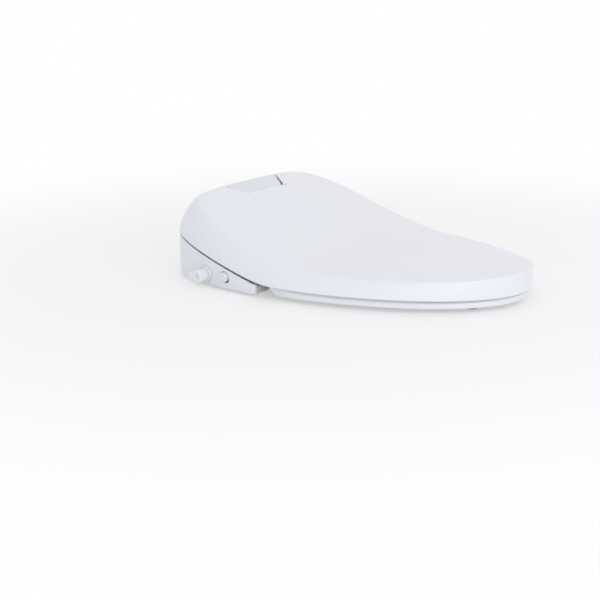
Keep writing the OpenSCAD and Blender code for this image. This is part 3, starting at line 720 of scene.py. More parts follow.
@dataclass(frozen=True)
class Plastic:
    """Moulded plastic with a faint flow of tone and the fine skin of its mould."""

    name: str
    tint: Colour
    shade: Colour
    roughness: tuple[float, float]
    skin_waves: float = 260.0
    skin_depth: float = 0.02
    skin_strength: float = 0.1
    coat: float = 0.0

    def material(self) -> bpy.types.Material:
        """Builds the material.

        Returns:
            The material.
        """
        bench = NodeBench(self.name)
        bench.feed("Base Color", bench.blended(bench.noise(7.0, 4.0), self.tint, self.shade))
        bench.feed("Roughness", bench.between(bench.noise(14.0, 1.0), *self.roughness))
        bench.relief(bench.noise(self.skin_waves, 2.0), self.skin_depth, self.skin_strength)
        bench.set("Coat Weight", self.coat)
        bench.set("Coat Roughness", 0.12)
        return bench.material


@dataclass(frozen=True)
class Rubber:
    """Soft elastomer with a dusty, dull skin."""

    name: str
    tint: Colour
    shade: Colour

    def material(self) -> bpy.types.Material:
        """Builds the material.

        Returns:
            The material.
        """
        bench = NodeBench(self.name)
        bench.feed("Base Color", bench.blended(bench.noise(60.0, 6.0), self.tint, self.shade))
        bench.feed("Roughness", bench.between(bench.noise(140.0, 4.0), 0.62, 0.86))
        bench.relief(bench.noise(1600.0, 3.0), 0.08, 0.35)
        bench.set("Sheen Weight", 0.15)
        return bench.material


@dataclass(frozen=True)
class Metal:
    """Brushed or plated metal, with its marks drawn out along one axis."""

    name: str
    tint: Colour
    roughness: tuple[float, float]
    stretch: tuple[float, float, float]

    def material(self) -> bpy.types.Material:
        """Builds the material.

        Returns:
            The material.
        """
        bench = NodeBench(self.name)
        lines = bench.noise(300.0, 5.0, bench.stretched(self.stretch))
        darker = tuple(c * 0.86 for c in self.tint)
        bench.feed("Base Color", bench.blended(bench.noise(30.0, 3.0), self.tint, darker))
        bench.feed("Roughness", bench.between(lines, *self.roughness))
        bench.relief(lines, 0.03, 0.25)
        bench.set("Metallic", 1.0)
        return bench.material


@dataclass(frozen=True)
class CircuitBoard:
    """Green lacquered board with a grid of lighter tracks."""

    name: str
    tint: Colour
    track: Colour

    def material(self) -> bpy.types.Material:
        """Builds the material.

        Returns:
            The material.
        """
        bench = NodeBench(self.name)
        cells = add_node(bench.nodes, "ShaderNodeTexBrick", {
            "Scale": 120.0, "Mortar Size": 0.08, "Color1": (*self.tint, 1),
            "Color2": (*(c * 1.15 for c in self.tint), 1), "Mortar": (*self.track, 1)})
        bench.links.new(bench.place, cells.inputs["Vector"])
        bench.feed("Base Color", cells.outputs["Color"])
        bench.feed("Roughness", bench.between(bench.noise(80.0), 0.28, 0.42))
        bench.relief(cells.outputs["Fac"], 0.05, 0.5)
        return bench.material


@dataclass(frozen=True)
class HeaterFilm:
    """Amber film with a metal trace that winds to and fro in it."""

    name: str
    tint: Colour
    trace: Colour

    def material(self) -> bpy.types.Material:
        """Builds the material.

        Returns:
            The material.
        """
        bench = NodeBench(self.name)
        values = {"Scale": 45.0, "Distortion": 0.6}
        wave = bench.run("ShaderNodeTexWave", bench.place, "Vector", "Fac", values, bands_direction="X")
        bench.feed("Base Color", bench.blended(bench.between(wave, 0.0, 1.0), self.tint, self.trace))
        bench.feed("Roughness", bench.between(bench.noise(60.0), 0.3, 0.45))
        bench.relief(wave, 0.05, 0.4)
        return bench.material


class Finish(Enum):
    """Finishes. All but the cap's are named as the slots that the record gives the nodes."""

    cover_white = Plastic("cover_white", (0.83, 0.845, 0.892), (0.815, 0.832, 0.877), (0.29, 0.34), coat=0.04)
    base_white = Plastic("base_white", (0.80, 0.815, 0.845), (0.77, 0.79, 0.82), (0.42, 0.56),
                         500.0, 0.03, 0.2)
    panel_grey = Plastic("panel_grey", (0.72, 0.755, 0.795), (0.745, 0.775, 0.815), (0.16, 0.24),
                         300.0, 0.01, 0.08, 0.4)
    button_pink = Plastic("button_pink", (0.865, 0.765, 0.835), (0.84, 0.73, 0.805), (0.29, 0.34), coat=0.3)
    button_white = Plastic("button_white", (0.80, 0.785, 0.835), (0.79, 0.77, 0.825), (0.29, 0.36), coat=0.2)
    light_plastic = Plastic("light_plastic", (0.62, 0.62, 0.59), (0.56, 0.56, 0.53), (0.45, 0.6),
                            800.0, 0.08, 0.25)
    dark_plastic = Plastic("dark_plastic", (0.045, 0.046, 0.05), (0.06, 0.06, 0.064), (0.4, 0.55),
                           800.0, 0.08, 0.3)
    tank_grey = Plastic("tank_grey", (0.32, 0.33, 0.35), (0.27, 0.28, 0.3), (0.4, 0.55), 600.0, 0.1, 0.3)
    rubber_grey = Rubber("rubber_grey", (0.42, 0.43, 0.44), (0.36, 0.37, 0.38))
    steel = Metal("steel", (0.62, 0.62, 0.64), (0.22, 0.38), (0.2, 12.0, 12.0))
    plated_brass = Metal("plated_brass", (0.74, 0.73, 0.71), (0.08, 0.2), (10.0, 0.3, 10.0))
    board_green = CircuitBoard("board_green", (0.02, 0.12, 0.05), (0.06, 0.26, 0.11))
    heater_foil = HeaterFilm("heater_foil", (0.62, 0.27, 0.07), (0.5, 0.42, 0.34))


class Paint:
    """Keeps one material for each finish and puts it on pieces."""

    def __init__(self) -> None:
        """Starts with no material made."""
        self.made: dict[Finish, bpy.types.Material] = {}

    def of(self, finish: Finish) -> bpy.types.Material:
        """Material of a finish, made once.

        Args:
            finish: The finish.

        Returns:
            Its material.
        """
        if finish not in self.made:
            self.made[finish] = finish.value.material()
        return self.made[finish]

    def coat(self, piece: bpy.types.Object, finish: Finish) -> bpy.types.Object:
        """Gives a whole piece one finish.

        Args:
            piece: Piece that is painted.
            finish: Its finish.

        Returns:
            The same piece.
        """
        piece.data.materials.clear()
        piece.data.materials.append(self.of(finish))
        return piece


# ---- Repeats -------------------------------------------------------------------------------


class Layout(Enum):
    """How copies are set out."""

    RING = "ring"
    ROW = "row"
    PLACES = "places"


@dataclass
class CopyTree:
    """Geometry Nodes tree that sets out copies of a small solid and makes them one mesh."""

    layout: Layout
    count: int = 1
    radius: float = 0.0
    pitch: Point = (0.0, 0.0, 0.0)
    places: tuple[Point, ...] = ()

    def tree(self) -> bpy.types.NodeTree:
        """Builds the tree with named inputs for its sizes.

        Returns:
            The node group.
        """
        group = bpy.data.node_groups.new(f"copies_in_{self.layout.value}", "GeometryNodeTree")
        face = group.interface
        kinds = {"Geometry": "Geometry", "Count": "Int", "Radius": "Float", "Pitch": "Vector",
                 "Solid": "Object", "Material": "Material"}
        for name, kind in kinds.items():
            face.new_socket(name=name, in_out="INPUT", socket_type=f"NodeSocket{kind}")
        face.new_socket(name="Geometry", in_out="OUTPUT", socket_type="NodeSocketGeometry")
        nodes, links = group.nodes, group.links
        source = nodes.new("NodeGroupInput")
        solid = nodes.new("GeometryNodeObjectInfo")
        links.new(source.outputs["Solid"], solid.inputs["Object"])
        spread = nodes.new("GeometryNodeInstanceOnPoints")
        links.new(solid.outputs["Geometry"], spread.inputs["Instance"])
        if self.layout is Layout.RING:
            ring = nodes.new("GeometryNodeMeshCircle")
            links.new(source.outputs["Count"], ring.inputs["Vertices"])
            links.new(source.outputs["Radius"], ring.inputs["Radius"])
            links.new(ring.outputs["Mesh"], spread.inputs["Points"])
            links.new(self._facing(nodes, links, source), spread.inputs["Rotation"])
        elif self.layout is Layout.ROW:
            row = nodes.new("GeometryNodeMeshLine")
            links.new(source.outputs["Count"], row.inputs["Count"])
            links.new(source.outputs["Pitch"], row.inputs["Offset"])
            links.new(row.outputs["Mesh"], spread.inputs["Points"])
        else:
            links.new(source.outputs["Geometry"], spread.inputs["Points"])
        real = nodes.new("GeometryNodeRealizeInstances")
        paint = nodes.new("GeometryNodeSetMaterial")
        out = nodes.new("NodeGroupOutput")
        links.new(spread.outputs["Instances"], real.inputs["Geometry"])
        links.new(real.outputs["Geometry"], paint.inputs["Geometry"])
        links.new(source.outputs["Material"], paint.inputs["Material"])
        links.new(paint.outputs["Geometry"], out.inputs["Geometry"])
        return group

    @staticmethod
    def _facing(nodes: bpy.types.Nodes, links: bpy.types.NodeLinks, source: bpy.types.Node
                ) -> bpy.types.NodeSocket:
        """Turn about Z that makes each copy on a ring face outwards.

        Args:
            nodes: Nodes of the tree.
            links: Its links.
            source: Node with the tree's inputs.

        Returns:
            The rotation socket.
        """
        index = nodes.new("GeometryNodeInputIndex")
        share = add_node(nodes, "ShaderNodeMath", operation="DIVIDE")
        links.new(index.outputs["Index"], share.inputs[0])
        links.new(source.outputs["Count"], share.inputs[1])
        turn = add_node(nodes, "ShaderNodeMath", {1: 2 * math.pi}, operation="MULTIPLY")
        links.new(share.outputs[0], turn.inputs[0])
        angles = nodes.new("ShaderNodeCombineXYZ")
        links.new(turn.outputs[0], angles.inputs["Z"])
        return angles.outputs["Vector"]

    def spread(self, name: str, solid: bpy.types.Object, material: bpy.types.Material,
               place: Matrix | None = None) -> bpy.types.Object:
        """Runs the tree and bakes its result into one plain mesh.

        Args:
            name: Name of the new piece.
            solid: Small solid that is copied, and then removed.
            material: Material of the copies.
            place: Where the finished set goes, in metres.

        Returns:
            The piece.
        """
        mesh = bpy.data.meshes.new(name)
        points = self.places or ((0.0, 0.0, 0.0),)
        mesh.from_pydata([tuple(c * MM for c in p) for p in points], [], [])
        piece = linked(name, mesh)
        step = piece.modifiers.new("copies", "NODES")
        step.node_group = self.tree()
        values = {"Count": self.count, "Radius": self.radius * MM,
                  "Pitch": tuple(c * MM for c in self.pitch), "Solid": solid, "Material": material}
        for item in step.node_group.interface.items_tree:
            if item.in_out == "INPUT" and item.name in values:
                step[item.identifier] = values[item.name]
        bpy.context.view_layer.update()
        bake(piece)
        if place is not None:
            piece.data.transform(place)
        bpy.data.objects.remove(solid)
        return piece


# ---- Lid -----------------------------------------------------------------------------------


@dataclass
class Lid:
    """Deep lid with a soft crease round its top and a notch for the panel."""

    form: Form
    paint: Paint
    step: float = 2.6
    crease_round: tuple[float, float] = (7.0, 2.6)
    lip_round: float = 1.2
    sharpen_s: tuple[float, float] = (60.0, 380.0)
    wall_rows: int = 12
    round_rows: int = 8
    top_rows: int = 16
    top_ahead: float = 60.0
    top_inner: float = 0.25
    top_crowding: float = 0.8
    inner_lift: float = 0.8
    skirt_r: float = 28.4
    cut_reach: float = 60.0
    notch_r: float = 30.4
    notch_z: tuple[float, float] = (-5.0, 55.0)
    relief_r: float = 2.6
    relief_out: tuple[float, float] = (1.9, 2.6)
    ear_y: tuple[float, float] = (122.0, 128.0)
    ear_r: float = 8.0
    bore_r: float = 5.06

    def wall_row(self, turns: np.ndarray, share: np.ndarray | float, inset: float) -> np.ndarray:
        """Half loop at a share of the wall's height.

        Args:
            turns: Turns of the outline.
            share: Share of the height, the same or one for each turn.
            inset: Distance inside the outer skin.

        Returns:
            Points by station.
        """
        form = self.form
        low, high = form.foot(turns, inset), form.crease(turns, inset)
        share = np.broadcast_to(share, turns.shape)
        plan = mix(low, high, form.lean_share(share)[:, None])
        top = form.top_z(high[:, 0], high[:, 1]) - inset
        return np.column_stack([plan, mix(form.low_z(low[:, 0]), top, share)])

    def top_row(self, turns: np.ndarray, share: np.ndarray | float, inset: float) -> np.ndarray:
        """Half loop of the top at a share of its width.

        Args:
            turns: Turns of the outline.
            share: Share of the way from the middle to the crease.
            inset: Distance inside the outer skin.

        Returns:
            Points by station.
        """
        form = self.form
        edge = form.crease(turns, inset)
        along = self.top_inner + (1 - self.top_inner) * np.asarray(share)
        s = mix(form.wide_s + self.top_ahead, edge[:, 0], along)
        y = edge[:, 1] * share
        return np.column_stack([s, y, form.top_z(s, y) - inset])

    def skin(self, turns: np.ndarray, inset: float) -> list[np.ndarray]:
        """Half loops from the lower edge over the rounded crease to the middle line.

        Args:
            turns: Turns of the outline.
            inset: Distance inside the outer skin.

        Returns:
            Half loops in order.
        """
        edge = self.wall_row(turns, 1.0, inset)
        base = self.wall_row(turns, 0.0, inset)
        blunt, sharp = self.sharpen_s
        round_off = mix(*self.crease_round, smooth_step(clamp01((edge[:, 0] - blunt) / (sharp - blunt))))
        wall_end = 1 - round_off / np.linalg.norm(edge - base, axis=1)
        ahead = edge[:, 0] - self.form.wide_s - self.top_ahead
        reach = np.hypot(ahead * (1 - self.top_inner), edge[:, 1])
        top_start = 1 - round_off / reach
        rows = [self.wall_row(turns, wall_end * k, inset) for k in np.linspace(0, 1, self.wall_rows)]
        before, after = rows[-1], self.top_row(turns, top_start, inset)
        for k in np.linspace(0, 1, self.round_rows)[1:-1]:
            rows.append((1 - k) ** 2 * before + 2 * k * (1 - k) * edge + k * k * after)
        for k in np.linspace(1, 0, self.top_rows):
            rows.append(self.top_row(turns, top_start * k ** self.top_crowding, inset))
        return rows

    def lip(self, turns: np.ndarray) -> list[np.ndarray]:
        """Half loops of the rounded lower edge, from the inner to the outer skin.

        Args:
            turns: Turns of the outline.

        Returns:
            Half loops in order.
        """
        wall, bend = self.form.lid_wall, self.lip_round
        bends = [(wall - 0.3, 0.15), (wall - 1.0, 0.0), (bend, 0.0), (bend * 0.4, bend * 0.2),
                 (0.1, bend * 0.6)]
        rows = []
        for inset, lift in bends:
            row = self.wall_row(turns, 0.0, inset)
            row[:, 2] += lift
            rows.append(row)
        return rows

    def build(self) -> bpy.types.Object:
        """Builds the lid, with its rear opening, notch and hinge ears.

        Returns:
            The lid, shaded smooth.
        """
        form = self.form
        fine = fine_turns(-90, 90)
        turns = even_turns(form.foot(fine), fine, self.step)
        inner, outer = self.skin(turns, form.lid_wall), self.skin(turns, 0.0)
        inner[0][:, 2] += self.inner_lift
        outer[0][:, 2] += self.lip_round
        loops = [mirrored(row) for row in inner[::-1] + self.lip(turns) + outer]
        piece = new_object("lid", form.at(np.vstack(loops)), loop_quads(len(loops), len(loops[0])))
        carve(piece, self.cutters())
        tidy(piece)
        piece = join("lid", [piece, self.ear(1), self.ear(-1)])
        soften(piece)
        return piece

    def cutters(self) -> list[bpy.types.Object]:
        """Solids of the rear opening, the corner skirts' ends and the panel's notch.

        Returns:
            The solids, in the order in which they cut.
        """
        form, panel = self.form, Panel(self.form, self.paint)
        s, z = form.hinge
        half, reach = self.ear_y[0], self.cut_reach
        made = [block("rear_opening", form.at((-20, 0.01 - half, 20)), form.at((s, half - 0.01, 150)))]
        corners = [[s, z - reach], [s - reach, z - reach], [s - reach, z]]
        skirt = form.at(np.vstack([arc(s, z, self.skirt_r, 180, 270, 19), corners]))
        for low, high in ((half, form.half + 1), (-form.half - 1, -half)):
            made.append(prism("skirt_cut", skirt, low, high, 1))
        low, high = z + self.notch_z[0], z + self.notch_z[1]
        made.append(prism("notch", form.at(panel.plan(-20, form.cover_gap)), low, high, 2))
        forward, out = self.relief_out
        spot = form.at((panel.start_s + panel.depth + forward, panel.front_half + out, z))
        made.append(cylinder("corner_relief", self.relief_r, low, high, spot, 2, 32))
        half = panel.rear_half + form.cover_gap
        made.append(cylinder("notch_corners", self.notch_r, -half, half, form.hinge_point(), 1, 160))
        return made

    def ear(self, side: int) -> bpy.types.Object:
        """Disc that carries the lid on its hinge shaft.

        Args:
            side: 1 for the left ear and -1 for the right.

        Returns:
            The closed solid.
        """
        low, high = self.ear_y
        profile = [(self.bore_r, low), (self.ear_r - 0.6, low), (self.ear_r, low + 0.6), (self.ear_r, high),
                   (0.01, high), (0.01, high - 1), (self.bore_r, high - 1), (self.bore_r, low)]
        return turned("ear", [(r, side * y) for r, y in profile], self.form.hinge_point())

    def dress(self) -> bpy.types.Object:
        """Builds the lid and puts it in the model.

        Returns:
            The piece.
        """
        piece = self.paint.coat(self.build(), Finish.cover_white)
        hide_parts("lid_shell")
        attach(piece, "lid")
        return piece


# ---- Indicator panel -----------------------------------------------------------------------


@dataclass
class Panel:
    """Tinted panel in the lid's notch, with softened edges."""

    form: Form
    paint: Paint
    start_s: float = 30.6
    depth: float = 29.0
    rear_half: float = 60.7
    front_half: float = 44.4
    top: tuple[float, float] = (123.6, 110.6)
    thickness: float = 2.4
    corner: float = 8.0

    def plan(self, rear_s: float, grow: float) -> np.ndarray:
        """Outline of the panel, or of the notch when grown.

        Args:
            rear_s: Station where the outline ends at the rear.
            grow: Distance outside the panel's own outline.

        Returns:
            Points as stations and sides.
        """
        slant = (self.rear_half - self.front_half) / self.depth
        front = self.start_s + self.depth + grow
        half = self.front_half + grow
        share = np.linspace(0, 1, 9)[:, None]
        tip = np.array([front, half])
        first = np.array([front - self.corner, half + self.corner * slant])
        last = np.array([front, half - self.corner])
        bend = mix(mix(first, tip, share), mix(tip, last, share), share)
        right = np.vstack([[[rear_s, half + (front - rear_s) * slant]], bend])
        return np.vstack([right, right[::-1] * np.array([1, -1])])

    def height(self, s: np.ndarray) -> np.ndarray:
        """Height of the sloping top at a station."""
        return mix(self.top[0], self.top[1], (s - self.start_s) / self.depth)

    def build(self) -> bpy.types.Object:
        """Builds the panel with rounded upper edges.

        Returns:
            The panel, shaded smooth.
        """
        rows = []
        for inset, drop in ((0.0, self.thickness), (0.0, 0.6), (0.12, 0.25), (0.35, 0.06), (0.7, 0.0)):
            outline = self.plan(self.start_s + inset, -inset)
            rows.append(np.column_stack([outline, self.height(outline[:, 0]) - drop]))
        piece = stacked("indicator_panel_face", self.form.at(rows))
        soften(piece)
        return piece

    def dress(self) -> bpy.types.Object:
        """Builds the panel and puts it in the model.

        Returns:
            The piece.
        """
        piece = self.paint.coat(self.build(), Finish.panel_grey)
        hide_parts("indicator_panel")
        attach(piece, "main_unit")
        return piece


# ---- Seat ----------------------------------------------------------------------------------


@dataclass
class Seat:
    """Heated ring seat with the two arms that carry it on the hinge."""

    form: Form
    paint: Paint
    step: float = 3.0
    inset: float = 6.0
    rear_s: float = 152.0
    crown_gap: float = 9.0
    seat_wall: float = 3.0
    rim_drop: float = 2.8
    flare_s: float = 224.0
    cross_low: float = 39.5
    flare_run: float = 24.0
    opening: tuple[float, float, float] = (268.0, 208.0, 196.0)
    opening_mid: float = 0.42
    rise_run: float = 30.0
    arm_y: tuple[float, float] = (106.0, 120.0)
    arm_s: tuple[float, float] = (150.0, 172.0)
    arm_r: float = 10.0
    bore_r: float = 5.06
    soft_points: int = 15
    soft_steps: int = 4
    sharp_angle: float = 38.0

    def opening_egg(self, turn: np.ndarray) -> np.ndarray:
        """Outline of the opening.

        Args:
            turn: Turns in degrees.

        Returns:
            Stations and sides, as rows.
        """
        length, width, start = self.opening
        mid = start + length * self.opening_mid
        return self.form.egg(turn, start + length, start, width / 2, mid, (2.1, 2.2))

    def outer_egg(self, turn: np.ndarray, grow: float = 0.0) -> np.ndarray:
        """Outer outline of the ring.

        Args:
            turn: Turns in degrees.
            grow: Distance outside the ring's own outline.

        Returns:
            Stations and sides, as rows.
        """
        form = self.form
        return form.egg(turn, form.length - self.inset + grow, self.rear_s - grow,
                        form.half - self.inset + grow, None, (2.0, 2.2))

    def top(self, s: np.ndarray) -> np.ndarray:
        """Height of the crown."""
        return self.form.crease_z(s) - self.crown_gap

    def bottom(self, s: np.ndarray, drop: float) -> np.ndarray:
        """Height of the underside, which rises behind the opening to pass over the nozzle bay.

        Args:
            s: Stations.
            drop: Distance below the base's own underside in front of the rise.

        Returns:
            Heights.
        """
        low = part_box("seat_base")[0].z / MM - drop
        behind = (self.opening[2] + self.rise_run - s) / self.rise_run
        return mix(low, self.cross_low, smooth_step(clamp01(behind)))

    def lean_in(self, s: np.ndarray, z: np.ndarray) -> np.ndarray:
        """How far the lid's wall has leaned in at a height.

        Args:
            s: Stations.
            z: Heights.

        Returns:
            Distances inwards.
        """
        form = self.form
        low = form.low_z(s)
        share = clamp01((z - low) / (form.crease_z(s) - form.lid_wall - low))
        return form.side_lean * form.lean_share(share)

    def profile(self) -> np.ndarray:
        """Section of the ring.

        Returns:
            Rows of share of the width, distance out, share of the height, distance up, and flare.
        """
        lip, wall = 2 + self.seat_wall, self.seat_wall
        rows = [
            [1, -3.6, 0, 0, 2.6], [1, -1.9, 0.035, 0, 3.0], [1, -1.3, 0.12, 0, 3.0], [1, -1.3, 0.24, 0, 2.6],
            [1, -1.5, 0.38, 0], [1, -2.8, 0.62, 0], [1, -5.6, 0.86, 0],
            [1, -11, 0.97, 0], [0.62, 0, 1, 0], [0.3, 0, 0.9, 0], [0, 7, 0.72, 0], [0, 1.5, 0.58, 0],
            [0, 0, 0.4, 0], [0, 0.4, 0.12, wall * 0.9], [0, 2, 0, wall], [0, lip, 0, wall],
            [0, lip, 0.55, 0.6 - wall], [0, 5 + lip, 0.72, -wall], [0.3, 0, 0.9, -wall], [0.62, 0, 1, -wall],
            [1, -11 - wall, 0.97, -wall], [1, -6.6 - wall, 0.84, -wall], [1, -3 - wall, 0.6, 0],
            [1, -1.8 - wall, 0.36, 0], [1, -6 - wall, 0, 0],
        ]
        return np.array([row + [0] * (5 - len(row)) for row in rows], float)

    def base_profile(self) -> np.ndarray:
        """Section of the plate that closes the ring from below.

        Returns:
            Rows in the terms of profile().
        """
        edge, thick, bevel = -6.4 - self.seat_wall, 2.0, 0.5
        shares = np.linspace(0.92, 0.08, 22).tolist()
        rows = [[1, edge - bevel, 0, 0], [1, edge, 0, bevel], [1, edge, 0, thick]]
        rows += [[share, 0, 0, thick] for share in shares]
        rows += [[0, 2, 0, thick], [0, 2, 0, bevel], [0, 2 + bevel, 0, 0]]
        rows += [[share, 0, 0, 0] for share in shares[::-1]]
        return np.array([row + [0] for row in rows], float)

    def section(self, turns: np.ndarray, profile: np.ndarray, drop: float) -> np.ndarray:
        """Points of the ring's half sections.

        Args:
            turns: Turns of the sections.
            profile: Section, as made by profile().
            drop: Distance below the base's own underside.

        Returns:
            Array of turn, profile point, and station, side and height.
        """
        inner, outer = self.opening_egg(turns), self.outer_egg(turns)
        width = np.linalg.norm(outer - inner, axis=1)
        columns = []
        fade = smooth_step(clamp01((outer[:, 0] - self.flare_s) / self.flare_run))
        for share, out, rise, up, flare in profile:
            out = out + flare * fade
            plan = mix(inner, outer, (share + out / width)[:, None])
            z = mix(self.bottom(plan[:, 0], drop), self.top(plan[:, 0]), rise) + up
            lean = self.lean_in(plan[:, 0], z) if share == 1 else 0.0
            plan = mix(inner, outer, (share + (out - lean) / width)[:, None])
            columns.append(np.column_stack([plan, z]))
        return np.stack(columns, 1)

    @staticmethod
    def rounded(points: np.ndarray, soft_until: int, steps: int) -> np.ndarray:
        """Sections with a smooth curve through their first points.

        Args:
            points: Sections as made by section().
            soft_until: Number of points in the smooth stretch.
            steps: Pieces between two points of it.

        Returns:
            Sections with more points.
        """
        columns = []
        for i in range(soft_until - 1):
            a, b = points[:, max(i - 1, 0)], points[:, i]
            c, d = points[:, i + 1], points[:, min(i + 2, soft_until - 1)]
            near, far = np.linalg.norm(b - a, axis=1), np.linalg.norm(d - c, axis=1)
            gap = np.linalg.norm(c - b, axis=1)
            start = (c - a) * (gap / np.maximum(near + gap, 1e-6))[:, None]
            end = (d - b) * (gap / np.maximum(far + gap, 1e-6))[:, None]
            for k in np.linspace(0, 1, steps, endpoint=False):
                columns.append((2 * k ** 3 - 3 * k ** 2 + 1) * b + (k ** 3 - 2 * k ** 2 + k) * start
                               + (3 * k ** 2 - 2 * k ** 3) * c + (k ** 3 - k ** 2) * end)
        columns += [points[:, i] for i in range(soft_until - 1, points.shape[1])]
        return np.stack(columns, 1)

    def ring(self, name: str, half: np.ndarray) -> bpy.types.Object:
        """Closed ring from half sections.

        Args:
            name: Name of the object.
            half: Half sections, as made by section().

        Returns:
            The ring.
        """
        sections = mirrored(half)
        number, count = sections.shape[:2]
        faces = [(i * count + k, ((i + 1) % number) * count + k, ((i + 1) % number) * count + (k + 1) % count,
                  i * count + (k + 1) % count) for i in range(number) for k in range(count)]
        return new_object(name, self.form.at(sections.reshape(-1, 3)), faces)

    def turns(self) -> np.ndarray:
        """Turns at even steps round the ring."""
        fine = fine_turns(-90, 90)
        return even_turns(self.outer_egg(fine), fine, self.step)

    def build(self) -> bpy.types.Object:
        """Builds the ring and its arms.

        Returns:
            The seat's top, shaded smooth.
        """
        shell = self.section(self.turns(), self.profile(), self.rim_drop)
        ring = self.ring("seat_ring", self.rounded(shell, self.soft_points, self.soft_steps))
        piece = join("seat_top", [ring, self.arm(1), self.arm(-1)])
        soften(piece, self.sharp_angle)
        return piece

    def base(self) -> bpy.types.Object:
        """Builds the plate that closes the ring from below.

        Returns:
            The plate, shaded smooth.
        """
        piece = self.ring("seat_underside", self.section(self.turns(), self.base_profile(), 0))
        soften(piece)
        return piece

    def arm(self, side: int) -> bpy.types.Object:
        """Arm from the ring back to the hinge, with its bore.

        Args:
            side: 1 for the left arm and -1 for the right.

        Returns:
            The arm.
        """
        form = self.form
        front, toe = self.arm_s
        crown = float(self.top(np.array([front - 2]))[0])
        eye = arc(*form.hinge, self.arm_r, 75, 262, 22)
        outline = np.vstack([eye, [[front, self.cross_low + 1.5], [toe, self.cross_low + 4],
                                   [toe, self.cross_low + 12], [front, crown - 5]]])
        low, high = sorted((side * self.arm_y[0], side * self.arm_y[1]))
        arm = bevelled(prism("arm", form.at(outline), low, high, 1), 1.2, 3)
        carve(arm, [cylinder("bore", self.bore_r, low - 1, high + 1, form.hinge_point())])
        return arm

    def dress(self) -> list[bpy.types.Object]:
        """Builds the seat's top and underside and puts them in the model.

        Returns:
            Both pieces.
        """
        top = self.paint.coat(self.build(), Finish.cover_white)
        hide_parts("seat_upper_shell")
        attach(top, "seat")
        base = self.paint.coat(self.base(), Finish.base_white)
        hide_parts("seat_base")
        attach(base, "seat")
        return [top, base]


# ---- Casing --------------------------------------------------------------------------------


@dataclass(frozen=True)
class ArmEnd:
    """Station of an arm's rounded tip, its turns on the two outlines, and its two sides there."""

    s: float
    outer_turn: float
    inner_turn: float
    outer: float
    inner: float


